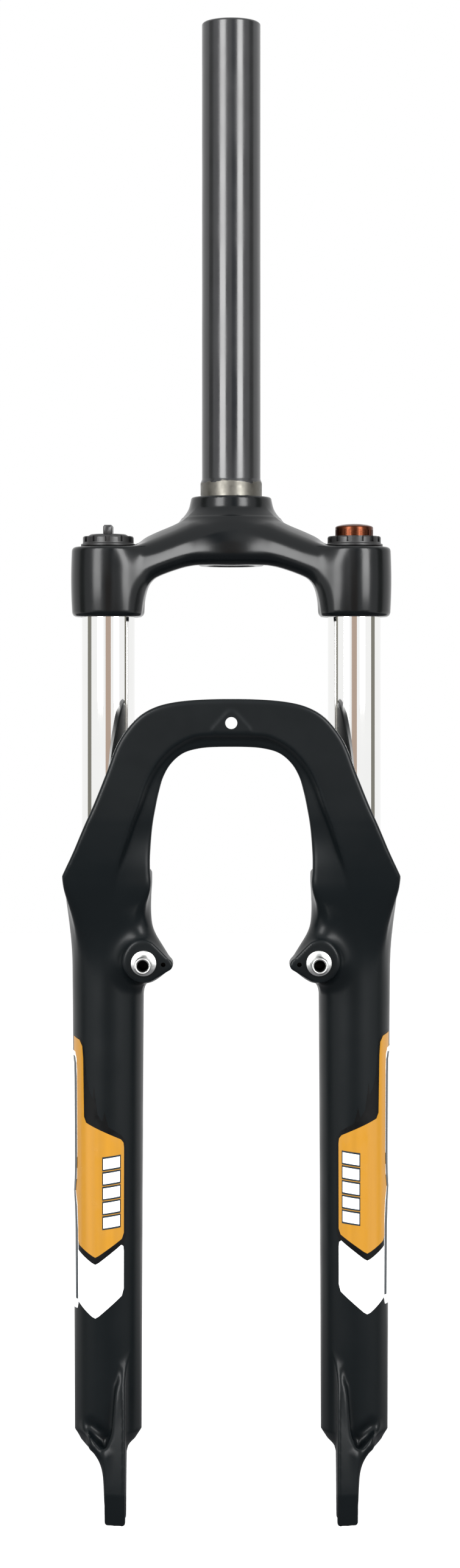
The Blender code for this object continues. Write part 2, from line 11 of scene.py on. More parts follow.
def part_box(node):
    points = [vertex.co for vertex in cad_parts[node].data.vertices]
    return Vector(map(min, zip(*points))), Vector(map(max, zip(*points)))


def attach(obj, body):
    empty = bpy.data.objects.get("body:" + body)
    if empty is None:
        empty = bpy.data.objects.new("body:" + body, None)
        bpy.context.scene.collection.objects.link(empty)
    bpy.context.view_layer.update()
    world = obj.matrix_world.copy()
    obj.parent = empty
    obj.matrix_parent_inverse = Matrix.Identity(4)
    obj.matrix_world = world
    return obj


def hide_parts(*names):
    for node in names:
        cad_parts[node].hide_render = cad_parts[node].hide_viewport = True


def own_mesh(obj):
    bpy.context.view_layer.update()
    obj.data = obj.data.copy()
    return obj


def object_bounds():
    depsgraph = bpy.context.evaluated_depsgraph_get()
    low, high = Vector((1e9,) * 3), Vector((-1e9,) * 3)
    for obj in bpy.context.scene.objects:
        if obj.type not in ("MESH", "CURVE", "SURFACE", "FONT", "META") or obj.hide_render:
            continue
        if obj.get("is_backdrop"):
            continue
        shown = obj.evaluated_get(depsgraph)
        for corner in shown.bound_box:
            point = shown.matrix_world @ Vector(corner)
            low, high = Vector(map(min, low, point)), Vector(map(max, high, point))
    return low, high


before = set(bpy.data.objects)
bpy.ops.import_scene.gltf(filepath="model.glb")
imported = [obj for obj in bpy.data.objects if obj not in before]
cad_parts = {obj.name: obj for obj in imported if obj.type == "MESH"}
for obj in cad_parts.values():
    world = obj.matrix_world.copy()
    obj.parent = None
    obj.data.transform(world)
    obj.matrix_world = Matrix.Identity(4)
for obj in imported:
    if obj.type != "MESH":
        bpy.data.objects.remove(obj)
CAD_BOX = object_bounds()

bl_info = {
    "name": "Suspension Fork",
    "version": (1, 0, 0),
    "blender": (4, 5, 0),
    "location": "View3D > Sidebar > Fork",
    "description": "Builds a bicycle suspension fork's finished pieces, materials and studio",
    "category": "Add Mesh",
}

# Boxes of the CAD pieces that the finish follows
TUBE_LOW, TUBE_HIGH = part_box("stanchion_left")
CROWN_LOW, CROWN_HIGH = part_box("crown")
CAST_LOW, CAST_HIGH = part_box("lowers_casting")
STEERER_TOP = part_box("steerer_tube")[1].z
STUD_LOW, STUD_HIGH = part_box("brake_stud_left")
WIPER_LOW, WIPER_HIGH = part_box("dust_wiper_left")
KNOB_LOW, KNOB_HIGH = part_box("preload_knob")
SPRING_LOW, SPRING_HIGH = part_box("coil_spring")
BOLT_LOW, BOLT_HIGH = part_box("foot_bolt_left")

# Places and sizes that follow from them, in metres
LEG_X = (TUBE_LOW.x + TUBE_HIGH.x) / 2
LEG_Y = (TUBE_LOW.y + TUBE_HIGH.y) / 2
TUBE_R = (TUBE_HIGH.x - TUBE_LOW.x) / 2
LEG_TOP = WIPER_LOW.z + 0.0059  # the wiper's skirt reaches this far into the leg
STUD_X = (STUD_LOW.x + STUD_HIGH.x) / 2
STUD_Z = (STUD_LOW.z + STUD_HIGH.z) / 2
BOSS_FACE = STUD_LOW.y + 0.0186  # the stud stands out by this much
TIP_Z = CAST_LOW.z
ARCH_FRONT = CAST_LOW.y
ARCH_BACK = ARCH_FRONT + 0.0135  # the arch's depth
AXLE_Y = -0.042
AXLE_Z = TIP_Z + 0.010
CROWN_LEG_TOP = CROWN_HIGH.z - 0.0256  # the crown's boss stands this far above its legs

# Sizes of the finish itself
HUB_HALF = 0.050
CROWN_UNDERSIDE = -0.0348
STEERER_RISE = 0.0012  # the steerer's foot stays this far above the crown's underside
LEG_END = -0.4573
KNOB_FLUTES = 24
BAR_COUNT = 5
SIDES = (("left", 1), ("right", -1))


def measure(name, description, default, **limits):
    """A length property."""
    return bpy.props.FloatProperty(
        name=name, description=description, default=default, unit="LENGTH", **limits
    )


def colour(name, description, default):
    """A colour property."""
    return bpy.props.FloatVectorProperty(
        name=name, description=description, default=default, subtype="COLOR", size=3, min=0, max=1
    )


class ForkSizes(bpy.types.PropertyGroup):
    """Sizes of the finish that a user may change; the fork's own sizes come from its CAD frame."""

    cell: measure("Casting cell", "Spacing of the points on the castings' skin", 0.0009, min=0.0004)
    fillet: measure("Casting fillet", "Radius where the cast parts run into each other", 0.0045)
    edge: measure("Machined edge", "Radius broken on the corners of turned pieces", 0.0004)
    graphic_lift: measure("Graphic thickness", "Height of a vinyl graphic above the paint", 0.00009)
    camera_distance: measure("Camera distance", "Distance from the camera to the steerer's axis", 1.578)
    camera_height: measure("Camera height", "Height of the camera in the fork's frame", -0.099)
    floor_drop: measure("Floor drop", "Distance from the fork ends down to the floor", 0.30)


class ForkColours(bpy.types.PropertyGroup):
    """Colours of the fork's finishes."""

    steerer: colour("Steerer paint", "Paint of the steerer tube", (0.0085, 0.0090, 0.0100))
    crown: colour("Crown paint", "Gloss paint of the crown", (0.0012, 0.0019, 0.0024))
    casting: colour("Casting paint", "Satin paint of the lower legs", (0.0026, 0.0040, 0.0048))
    chrome: colour("Chrome", "Plating of the stanchions", (0.88, 0.88, 0.87))
    knob: colour("Preload knob", "Anodised finish of the preload knob", (0.090, 0.027, 0.013))
    plastic: colour("Caps", "Moulded top caps and lever", (0.0070, 0.0070, 0.0075))
    gold: colour("Golden graphic", "Main colour of the leg graphics", (0.37, 0.172, 0.013))
    white: colour("White graphic", "Second colour of the leg graphics", (0.90, 0.90, 0.90))
    slate: colour("Graphic outline", "Thin lines inside the white graphics", (0.012, 0.020, 0.026))
    backdrop: colour("Backdrop", "Floor and surroundings", (1.0, 1.0, 1.0))


# Outlines and curves


def curve(points, steps=8):
    """Points on a smooth curve that passes through the given ones."""
    given = np.array(points, float)
    ends = np.vstack([2 * given[0] - given[1], given, 2 * given[-1] - given[-2]])
    t = np.linspace(0, 1, steps, endpoint=False)[:, None]
    made = []
    for a, b, c, d in zip(ends, ends[1:], ends[2:], ends[3:]):
        square, cube = 2 * a - 5 * b + 4 * c - d, 3 * b - a - 3 * c + d
        made.append(b + ((c - a) * t + square * t**2 + cube * t**3) / 2)
    return np.vstack([*made, given[-1:]])


def arc(centre, radius, start, end, steps):
    """Points on a circle, from one angle in degrees to another."""
    angles = np.radians(np.linspace(start, end, steps))
    return np.stack([centre[0] + radius * np.cos(angles), centre[1] + radius * np.sin(angles)], 1)


def table_of(points, steps=8):
    """A smooth function from sparse (place, value) pairs, whose places rise."""
    dense = curve(points, steps)
    return lambda place: np.interp(place, dense[:, 0], dense[:, 1])


def rounded(outline, radius, steps=3, closed=True):
    """The outline with its corners rounded; an open one keeps its two ends."""
    points = [Vector(p) for p in outline]
    count = len(points)
    made = []
    for k, corner in enumerate(points):
        if not closed and k in (0, count - 1):
            made.append(tuple(corner))
            continue
        before, after = points[k - 1], points[(k + 1) % count]
        reach_before = min(radius, (before - corner).length * 0.42)
        reach_after = min(radius, (after - corner).length * 0.42)
        start = corner + (before - corner).normalized() * reach_before
        end = corner + (after - corner).normalized() * reach_after
        for step in range(steps + 1):
            t = step / steps
            made.append(tuple(start.lerp(corner, t).lerp(corner.lerp(end, t), t)))
    return made


# Solids given by their distance


def fillet_min(a, b, radius):
    """The union of two distances, filleted."""
    share = np.clip(0.5 + 0.5 * (b - a) / radius, 0, 1)
    return b + (a - b) * share - radius * share * (1 - share)


def fillet_max(a, b, radius):
    """The intersection of two distances, with a rounded edge."""
    return -fillet_min(-a, -b, radius)


def eased(value, start, end):
    """0 at start and 1 at end, with a soft beginning and ending."""
    share = np.clip((value - start) / (end - start), 0, 1)
    return share * share * (3 - 2 * share)


def outline_distance(u, v, outline):
    """Signed distance from points to a closed outline, negative inside."""
    nearest = np.full(np.broadcast(u, v).shape, 1e9)
    inside = np.zeros(nearest.shape, bool)
    for (au, av), (bu, bv) in zip(outline, np.roll(outline, -1, axis=0)):
        du, dv = bu - au, bv - av
        length = du * du + dv * dv
        if length < 1e-16:
            continue
        along = np.clip(((u - au) * du + (v - av) * dv) / length, 0, 1)
        nearest = np.minimum(nearest, (u - au - du * along) ** 2 + (v - av - dv * along) ** 2)
        if dv:
            inside ^= ((av > v) != (bv > v)) & (u < au + (v - av) * du / dv)
    return np.where(inside, -1, 1) * np.sqrt(nearest)


class Chart:
    """Signed distance to a flat outline, worked out once on a fine grid and read between its points."""

    def __init__(self, outline, pitch=0.0004, margin=0.014):
        outline = np.array(outline, float)
        self.pitch = pitch
        self.low = outline.min(0) - margin
        self.last = np.ceil((outline.max(0) + margin - self.low) / pitch).astype(int)
        u = self.low[0] + pitch * np.arange(self.last[0] + 1)
        v = self.low[1] + pitch * np.arange(self.last[1] + 1)
        self.table = outline_distance(u[:, None], v[None, :], outline)

    def __call__(self, u, v):
        a, b = (u - self.low[0]) / self.pitch, (v - self.low[1]) / self.pitch
        near_a, near_b = np.clip(a, 0, self.last[0] - 1e-3), np.clip(b, 0, self.last[1] - 1e-3)
        i, j = near_a.astype(int), near_b.astype(int)
        s, t = near_a - i, near_b - j
        grid = self.table
        value = (1 - t) * ((1 - s) * grid[i, j] + s * grid[i + 1, j])
        value += t * ((1 - s) * grid[i, j + 1] + s * grid[i + 1, j + 1])
        return value + np.hypot(a - near_a, b - near_b) * self.pitch


def capsule(p, start, end, start_r, end_r):
    """Distance to a rod with round ends whose radius changes along it."""
    start, end = np.array(start), np.array(end)
    axis = end - start
    along = np.clip((p - start) @ axis / (axis @ axis), 0, 1)
    off = p - start - along[:, None] * axis
    return np.sqrt((off**2).sum(1)) - (start_r + (end_r - start_r) * along)


def in_chunks(distance, points, most=300_000):
    """The distance at many points, worked out a part at a time to save memory."""
    return np.concatenate([distance(points[k : k + most]) for k in range(0, len(points), most)])


def sampled(distance, low, counts, cell, block=6):
    """The distance at each grid point near the surface; elsewhere, that at its block's middle."""
    starts = [np.arange(0, n, block) for n in counts]
    middles = [low[k] + cell * (starts[k] + (block - 1) / 2) for k in range(3)]
    grid = np.stack(np.meshgrid(*middles, indexing="ij"), -1)
    far = in_chunks(distance, grid.reshape(-1, 3)).reshape(grid.shape[:3])
    field = far
    for k in range(3):
        field = np.repeat(field, block, axis=k)
    field = field[: counts[0], : counts[1], : counts[2]].copy()
    close = np.argwhere(np.abs(field) < cell * block * 1.5)
    field[tuple(close.T)] = in_chunks(distance, low + cell * close)
    return field


def onto_surface(distance, points, cell, rounds):
    """Moves points along the distance's slope until they lie on the surface."""
    step = cell * 0.25
    for _ in range(rounds):
        here = in_chunks(distance, points)
        slope = np.stack(
            [in_chunks(distance, points + step * np.eye(3)[k]) - here for k in range(3)], 1
        )
        slope /= step
        move = slope * (here / np.maximum((slope**2).sum(1), 0.25))[:, None]
        points = points - np.clip(move, -cell * 0.6, cell * 0.6)
    return points


def relaxed(points, quads):
    """Each point moved halfway to the middle of its neighbours, which evens out the faces."""
    total = np.zeros_like(points)
    count = np.zeros(len(points))
    for k in range(4):
        here, there = quads[:, k], quads[:, (k + 1) % 4]
        np.add.at(total, here, points[there])
        np.add.at(total, there, points[here])
        np.add.at(count, here, 1)
        np.add.at(count, there, 1)
    return (points + total / np.maximum(count, 1)[:, None]) / 2


def skin(distance, low, high, cell):
    """A closed quad mesh on the surface where the distance is zero, as (points, faces)."""
    low = np.array(low, float)
    counts = np.ceil((np.array(high) - low) / cell).astype(int) + 1
    field = sampled(distance, low, counts, cell)
    inside = field < 0
    corners = [(i, j, k) for i in (0, 1) for j in (0, 1) for k in (0, 1)]
    nx, ny, nz = counts - 1
    held = sum(inside[i : nx + i, j : ny + j, k : nz + k].astype(np.int8) for i, j, k in corners)
    crossed = (held > 0) & (held < 8)
    number = np.full(crossed.shape, -1)
    number[crossed] = np.arange(crossed.sum())
    cells = np.argwhere(crossed)
    total, count = np.zeros((len(cells), 3)), np.zeros(len(cells))
    for a in corners:
        for k in range(3):
            if a[k]:
                continue
            b = tuple(v + (n == k) for n, v in enumerate(a))
            first, second = field[tuple((cells + a).T)], field[tuple((cells + b).T)]
            cut = (first < 0) != (second < 0)
            share = first[cut] / (first[cut] - second[cut])
            spot = np.tile(np.array(a, float), (cut.sum(), 1))
            spot[:, k] += share
            total[cut] += spot
            count[cut] += 1
    points = low + cell * (cells + total / count[:, None])
    faces = []
    for k in range(3):
        u, v = (k + 1) % 3, (k + 2) % 3
        upper = [slice(None)] * 3
        lower = [slice(None)] * 3
        upper[k], lower[k] = slice(1, None), slice(None, -1)
        for side in (u, v):
            upper[side] = lower[side] = slice(1, -1)
        for going_in in (True, False):
            first, second = inside[tuple(lower)], inside[tuple(upper)]
            found = np.argwhere(second & ~first if going_in else first & ~second)
            found[:, u] += 1
            found[:, v] += 1
            du, dv = np.eye(3, dtype=int)[u], np.eye(3, dtype=int)[v]
            ring = [found, found - du, found - du - dv, found - dv]
            quad = np.stack([number[tuple(c.T)] for c in ring], 1)
            faces.append(quad[:, ::-1] if going_in else quad)
    faces = np.vstack(faces)
    points = onto_surface(distance, points, cell, 3)
    for _ in range(2):
        points = onto_surface(distance, relaxed(points, faces), cell, 2)
    return points, faces


# Meshes and objects


def mesh_object(name, points, faces, sharp=35):
    """A smooth-shaded object with creases where its faces meet at more than the sharp angle."""
    mesh = bpy.data.meshes.new(name)
    mesh.from_pydata([tuple(p) for p in points], [], [tuple(f) for f in faces])
    mesh.update()
    made = bpy.data.objects.new(name, mesh)
    bpy.context.scene.collection.objects.link(made)
    mesh.shade_smooth()
    mesh.set_sharp_from_angle(angle=math.radians(sharp))
    return made


def lathe(outline, segments=96, closed=True):
    """Points and faces turned about Z from (radius, height) points; an open outline meets the axis."""
    profile = np.array(outline, float)
    angles = np.arange(segments) * math.tau / segments
    points, rings = [], []
    for radius, height in profile:
        if radius < 1e-7:
            rings.append([len(points)] * segments)
            points.append((0, 0, height))
            continue
        rings.append(list(range(len(points), len(points) + segments)))
        points += [(radius * math.cos(a), radius * math.sin(a), height) for a in angles]
    faces = []
    pairs = list(zip(rings, rings[1:]))
    if closed:
        pairs.append((rings[-1], rings[0]))
    for upper, lower in pairs:
        for k in range(segments):
            after = (k + 1) % segments
            ring = [upper[k], lower[k], lower[after], upper[after]]
            face = [v for n, v in enumerate(ring) if v != ring[n - 1]]
            if len(face) > 2:
                faces.append(face)
    return np.array(points), faces


def placed(points, x=0.0, y=0.0, z=0.0):
    """Points put in another place."""
    return np.array(points) + (x, y, z)


def frontward(points):
    """Points of a shape made along Z, turned so that it runs along -Y."""
    points = np.array(points)
    return np.stack([points[:, 0], -points[:, 2], points[:, 1]], 1)


def turned(name, outline, at=(0, 0, 0), closed=True, radius=None, segments=96, front=False, sharp=35):
    """A turned piece whose corners are broken by a small radius."""
    if radius is None:
        radius = bpy.context.scene.fork_sizes.edge
    points, faces = lathe(rounded(outline, radius, closed=closed), segments, closed)
    if front:
        points = frontward(points)
    return mesh_object(name, placed(points, *at), faces, sharp)


def moved(shape, x=0.0, y=0.0, z=0.0):
    """A shape's (points, faces) put in another place."""
    return placed(shape[0], x, y, z), shape[1]


def shift(piece, x, y):
    """Moves an object's points, not its origin."""
    for vertex in piece.data.vertices:
        vertex.co += Vector((x, y, 0))


def with_room(low, high, room=0.003):
    """A box's two corners, pushed outwards."""
    return tuple(v - room for v in low), tuple(v + room for v in high)


def box(size, at, turn):
    """Points and faces of a block, turned about the Z axis."""
    bm = bmesh.new()
    bmesh.ops.create_cube(bm, size=1)
    bmesh.ops.transform(bm, matrix=Matrix.Diagonal((*size, 1)), verts=bm.verts)
    bmesh.ops.translate(bm, vec=at, verts=bm.verts)
    bmesh.ops.transform(bm, matrix=Matrix.Rotation(turn, 4, "Z"), verts=bm.verts)
    points = [tuple(v.co) for v in bm.verts]
    faces = [[v.index for v in f.verts] for f in bm.faces]
    bm.free()
    return points, faces


def merged(shapes):
    """Several (points, faces) as one."""
    points, faces = [], []
    for some_points, some_faces in shapes:
        start = len(points)
        points += [tuple(p) for p in some_points]
        faces += [[v + start for v in face] for face in some_faces]
    return points, faces


def combine(target, shapes, operation="DIFFERENCE", sharp=35):
    """Cuts shapes from an object, or joins them to it, and keeps only the result."""
    helpers = []
    for points, faces in shapes:
        helper = mesh_object("helper", points, faces)
        bm = bmesh.new()
        bm.from_mesh(helper.data)
        bmesh.ops.recalc_face_normals(bm, faces=bm.faces)
        bm.to_mesh(helper.data)
        bm.free()
        modifier = target.modifiers.new("helper", "BOOLEAN")
        modifier.operation = operation
        modifier.solver = "MANIFOLD"
        modifier.object = helper
        helpers.append(helper)
    apply_modifiers(target)
    for helper in helpers:
        bpy.data.objects.remove(helper)
    target.data.shade_smooth()
    target.data.set_sharp_from_angle(angle=math.radians(sharp))
    return target


def apply_modifiers(target):
    """Gives an object the mesh that its modifiers make."""
    graph = bpy.context.evaluated_depsgraph_get()
    graph.update()
    made = bpy.data.meshes.new_from_object(target.evaluated_get(graph))
    target.modifiers.clear()
    target.data = made


def finish(piece, material, body, slot, *nodes):
    """Gives a piece its material and its body, and hides the CAD nodes that it stands for; the slot is
    not used.
    """
    piece.data.materials.clear()
    piece.data.materials.append(material)
    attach(piece, body)
    if nodes:
        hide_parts(*nodes)
    return piece


def on_both_sides(name, outline, material, body, slot, at=(LEG_X, LEG_Y, 0), **shape):
    """A turned piece on each leg, from the place of the left one; returns the two."""
    made = []
    for side_name, side in SIDES:
        piece = turned(f"{name}_{side_name}_finish", outline, (side * at[0], *at[1:]), **shape)
        made.append(finish(piece, material, body, slot, f"{name}_{side_name}"))
    return made


# Materials


class Surface:
    """A material under construction: a Principled shader and the nodes that feed it."""

    def __init__(self, name, base, roughness, metallic=0.0, **sockets):
        self.material = bpy.data.materials.new(name)
        self.material.use_nodes = True
        self.tree = self.material.node_tree
        self.shader = self.tree.nodes["Principled BSDF"]
        self.place = self.tree.nodes.new("ShaderNodeTexCoord").outputs["Object"]
        values = {"Base Color": (*base, 1), "Roughness": roughness, "Metallic": metallic, **sockets}
        for socket, value in values.items():
            self.shader.inputs[socket].default_value = value

    def node(self, kind, inputs=None, **settings):
        made = self.tree.nodes.new(kind)
        for name, value in settings.items():
            setattr(made, name, value)
        for name, value in (inputs or {}).items():
            if isinstance(value, bpy.types.NodeSocket):
                self.tree.links.new(value, made.inputs[name])
            else:
                made.inputs[name].default_value = value
        return made

    def noise(self, scale, detail=3.0, stretch=(1, 1, 1)):
        """A noise that varies over the piece; stretch makes its grain long on an axis."""
        place = self.node("ShaderNodeMapping", {"Vector": self.place, "Scale": stretch})
        inputs = {"Vector": place.outputs[0], "Scale": scale, "Detail": detail}
        return self.node("ShaderNodeTexNoise", inputs).outputs["Fac"]

    def spread(self, factor, low, high, start=0.3, end=0.7):
        """The factor brought from start and end to low and high."""
        made = self.node(
            "ShaderNodeMapRange",
            {"Value": factor, "From Min": start, "From Max": end, "To Min": low, "To Max": high},
        )
        return made.outputs[0]

    def vary_roughness(self, factor, low, high):
        self.tree.links.new(self.spread(factor, low, high), self.shader.inputs["Roughness"])

    def vary_colour(self, factor, dark, light):
        mix = self.node("ShaderNodeMix", {"Factor": factor}, data_type="RGBA")
        mix.inputs[6].default_value = (*dark, 1)
        mix.inputs[7].default_value = (*light, 1)
        self.tree.links.new(mix.outputs[2], self.shader.inputs["Base Color"])
        return mix

    def bump(self, height, strength, distance):
        inputs = {"Height": height, "Strength": strength, "Distance": distance}
        made = self.node("ShaderNodeBump", inputs)
        self.tree.links.new(made.outputs[0], self.shader.inputs["Normal"])


def tinted(base, share):
    """A colour made lighter or darker by a share."""
    return tuple(min(1, c * share) for c in base)


def coat(name, base, roughness, rough, shade, grain, metallic=0.0, shine=0.5):
    """A surface with three noises, each given as (what the noise takes, first value, second value).

    They vary the roughness, the colour as shares of the base, and the bump by strength and height.
    """
    surface = Surface(name, base, roughness, metallic, **{"Specular IOR Level": shine})
    takes, low, high = rough
    surface.vary_roughness(surface.noise(*takes), low, high)
    takes, dark, light = shade
    surface.vary_colour(surface.noise(*takes), tinted(base, dark), tinted(base, light))
    takes, strength, height = grain
    surface.bump(surface.noise(*takes), strength, height)
    return surface.material


def satin_paint(name, base):
    """Satin powder coat with a faint orange peel."""
    peel = ([1400, 2], 0.10, 0.00003)
    return coat(name, base, 0.33, ([60], 0.30, 0.36), ([25, 4], 0.85, 1.2), peel, shine=0.19)


def gloss_paint(name, base):
    """Deep gloss paint on a forging, very slightly uneven."""
    wave = ([70, 2], 0.06, 0.00004)
    return coat(name, base, 0.21, ([40], 0.17, 0.25), ([20, 4], 0.8, 1.25), wave, shine=0.32)


def steerer_paint(base, seat_top, bare):
    """Thin gloss paint, mottled, that ends in a ragged edge above the bare race seat."""
    surface = Surface("steerer_paint", base, 0.2, **{"Specular IOR Level": 0.62})
    height = surface.node("ShaderNodeSeparateXYZ", {"Vector": surface.place}).outputs["Z"]
    off = surface.node("ShaderNodeMath", {0: height, 1: seat_top / 2}, operation="SUBTRACT").outputs[0]
    away = surface.node("ShaderNodeMath", {0: off}, operation="ABSOLUTE").outputs[0]
    wobble = surface.spread(surface.noise(160, 3, (1, 1, 2.2)), -0.0011, 0.0011)
    edge = surface.node("ShaderNodeMath", {0: away, 1: wobble}, operation="ADD").outputs[0]
    painted = surface.spread(edge, 0.0, 1.0, seat_top / 2 - 0.0001, seat_top / 2 + 0.0001)
    mottle = surface.vary_colour(surface.noise(70, 5), tinted(base, 0.7), tinted(base, 1.5))
    metal = surface.node("ShaderNodeMix", {"Factor": painted}, data_type="RGBA")
    metal.inputs[6].default_value = (*bare, 1)
    surface.tree.links.new(mottle.outputs[2], metal.inputs[7])
    surface.tree.links.new(metal.outputs[2], surface.shader.inputs["Base Color"])
    surface.tree.links.new(surface.spread(painted, 1.0, 0.0, 0, 1), surface.shader.inputs["Metallic"])
    fine = surface.spread(surface.noise(38, 5, (1, 1, 0.7)), 0.12, 0.27)
    worn = surface.spread(surface.noise(300, 4), 0.30, 0.50)
    rough = surface.node("ShaderNodeMix", {0: painted, 2: worn, 3: fine}, data_type="FLOAT")
    surface.tree.links.new(rough.outputs[0], surface.shader.inputs["Roughness"])
    surface.bump(surface.noise(120, 3, (1, 1, 0.5)), 0.18, 0.00006)
    return surface.material


def chrome_plate(base):
    """Hard chrome, ground and polished, with the faintest lines round the tube."""
    rough = ([80, 3, (1, 1, 0.2)], 0.02, 0.045)
    lines = ([300, 2, (0.05, 0.05, 6)], 0.003, 0.00001)
    return coat("chrome_plate", base, 0.03, rough, ([30], 0.97, 1.03), lines, metallic=1.0)


def metal(name, base, roughness, grain=(1, 1, 8)):
    """Bare or plated metal with turning marks along the grain."""
    rough = ([300, 3, grain], roughness * 0.8, roughness * 1.3)
    marks = ([900, 2, grain], 0.08, 0.00003)
    return coat(name, base, roughness, rough, ([150, 4], 0.85, 1.1), marks, metallic=1.0)


def moulded(name, base, roughness=0.42):
    """Moulded plastic with a fine spark-eroded grain."""
    rough = ([400], roughness * 0.85, roughness * 1.15)
    return coat(name, base, roughness, rough, ([120], 0.85, 1.2), ([3500, 2], 0.15, 0.00003))


def seal_rubber():
    """Matt rubber with a dusty bloom."""
    rough, bloom = ([150], 0.52, 0.70), ([90, 5], 0.7, 1.6)
    return coat("seal_rubber", (0.014, 0.014, 0.015), 0.6, rough, bloom, ([1500, 3], 0.2, 0.00004))


def vinyl(name, base, streaks=0.0, roughness=0.22, shine=0.5):
    """Clear-coated printed vinyl; streaks are faint lines that run down the leg."""
    rough = ([200], roughness * 0.8, roughness * 1.25)
    lines = ([260, 2, (1, 1, 0.02)], 1 - streaks, 1 + streaks / 2)
    return coat(name, base, roughness, rough, lines, ([600, 2], 0.05, 0.00002), shine=shine)


# The steerer and the crown


class FORK_OT_steerer(bpy.types.Operator):
    """Steerer tube: painted steel with a bare seat for the headset race"""

    bl_idname = "fork.steerer"
    bl_label = "Steerer tube"

    def execute(self, context):
        colours = context.scene.fork_colours
        foot, top = CROWN_UNDERSIDE + STEERER_RISE, STEERER_TOP
        outline = [
            (0.0135, top), (0.0143, top - 0.0008), (0.0143, 0.0088), (0.0150, 0.0070),
            (0.0150, foot + 0.0014), (0.0160, foot + 0.0014), (0.0160, foot + 0.0006), (0.0154, foot),
            (0.0120, foot), (0.0120, top - 0.0004), (0.0124, top),
        ]
        piece = turned("steerer_finish", outline, segments=128)
        paint = steerer_paint(colours.steerer, seat_top=0.0072, bare=(0.13, 0.125, 0.11))
        finish(piece, paint, "upper", "steerer", "steerer_tube")
        return {"FINISHED"}


def crown_solid():
    """The crown's distance: a boss round the steerer, swept arms and a leg round each stanchion."""
    base = CROWN_LOW.z
    boss_r = table_of(
        [(-0.040, 0.0205), (-0.034, 0.0207), (-0.025, 0.0226), (-0.012, 0.0232), (-0.0097, 0.0224),
         (-0.0067, 0.0210), (-0.0037, 0.0202), (0.0, 0.0195), (0.004, 0.0192)]
    )
    leg_r = table_of(
        [(-0.064, 0.0168), (-0.0592, 0.0172), (-0.050, 0.0177), (-0.040, 0.01785), (-0.030, 0.0176),
         (-0.022, 0.0172)]
    )
    underside = curve(
        [(-0.012, -0.0348), (0.012, -0.0348), (0.0200, -0.0355), (0.0272, -0.0376), (0.0348, -0.0407),
         (0.0379, -0.0431), (0.0402, -0.0465), (0.0415, -0.0500), (0.0424, -0.0545), (0.0430, -0.0610),
         (0.0431, -0.0700)]
    )
    top = curve(
        [(0.0560, -0.0262), (0.0490, -0.0247), (0.0450, -0.0215), (0.0416, -0.0186), (0.0358, -0.0157),
         (0.0290, -0.0127), (0.0225, -0.0095), (0.0150, -0.0072), (-0.015, -0.0072)]
    )
    side_view = Chart(np.vstack([underside, [(0.056, -0.0700)], top]))
    front = curve(
        [(-0.018, -0.0326), (-0.006, -0.0298), (0.006, -0.0298), (0.018, -0.0326), (0.028, -0.0362),
         (0.036, -0.0391), (0.044, -0.0416), (0.052, -0.0437), (0.059, -0.0446)]
    )
    back = curve(
        [(0.059, -0.0115), (0.050, -0.0128), (0.042, -0.0100), (0.034, -0.0030), (0.026, 0.0060),
         (0.018, 0.0140), (0.008, 0.0190), (-0.008, 0.0190), (-0.018, 0.0140)]
    )
    plan = Chart(np.vstack([front, back]))
    front_y, foot_z = table_of(front[::8]), table_of(underside[::8])
    ridge_z = table_of(
        [(-0.014, -0.0166), (-0.004, -0.0134), (0.004, -0.0134), (0.014, -0.0166), (0.030, -0.0226),
         (0.036, -0.0248), (0.042, -0.0262), (0.050, -0.0275), (0.059, -0.0280)]
    )
    back_z = table_of(
        [(-0.015, -0.0062), (0.015, -0.0062), (0.0225, -0.0088), (0.029, -0.0120), (0.0358, -0.0150),
         (0.0416, -0.0178), (0.047, -0.0205), (0.059, -0.0210)]
    )

    def distance(p):
        x, y, z = np.abs(p[:, 0]), p[:, 1], p[:, 2]
        boss = np.hypot(x, y) - boss_r(z)
        boss = fillet_max(boss, z, 0.0012)
        depth = y - front_y(x)
        share = np.clip(depth / 0.020, 0, 1)
        roof = ridge_z(x) + (back_z(x) - ridge_z(x)) * share
        outline = side_view(x, z)
        arms = fillet_max(plan(x, y), outline, 0.0040)
        arms = fillet_max(arms, (z - roof) * 0.86, 0.0090)
        chin = (outline - depth + 0.0034) * 0.7071
        arms = fillet_max(arms, chin, 0.0030)
        leg = np.hypot(x - LEG_X, y - LEG_Y) - leg_r(z)
        leg = fillet_max(leg, z - CROWN_LEG_TOP, 0.0022)
        foot = foot_z(x) + 0.07 * np.maximum(depth, 0)
        middle = fillet_max(fillet_min(arms, boss, 0.0060), (foot - z) * 0.8, 0.0016)
        return fillet_max(fillet_min(middle, leg, 0.0036), base - z, 0.0026)

    return distance


class FORK_OT_crown(bpy.types.Operator):
    """Crown: one forging, gloss black, bored for the steerer and the stanchions"""

    bl_idname = "fork.crown"
    bl_label = "Crown"

    def execute(self, context):
        cell = context.scene.fork_sizes.cell * 0.8
        points, faces = skin(crown_solid(), *with_room(CROWN_LOW, CROWN_HIGH), cell)
        piece = mesh_object("crown_finish", points, faces, sharp=60)
        bore = [(0, 0.02), (0.0154, 0.02), (0.0154, -0.06), (0, -0.06)]
        tube_r = TUBE_R + 0.0002
        well = [(0, 0.0), (0.0144, 0.0), (0.0144, CROWN_LEG_TOP), (tube_r, CROWN_LEG_TOP),
                (tube_r, -0.08), (0, -0.08)]
        cuts = [lathe(bore, closed=False)]
        cuts += [moved(lathe(well, closed=False), side * LEG_X, LEG_Y) for _, side in SIDES]
        combine(piece, cuts, sharp=50)
        paint = gloss_paint("crown_paint", context.scene.fork_colours.crown)
        finish(piece, paint, "upper", "crown", "crown")
        return {"FINISHED"}


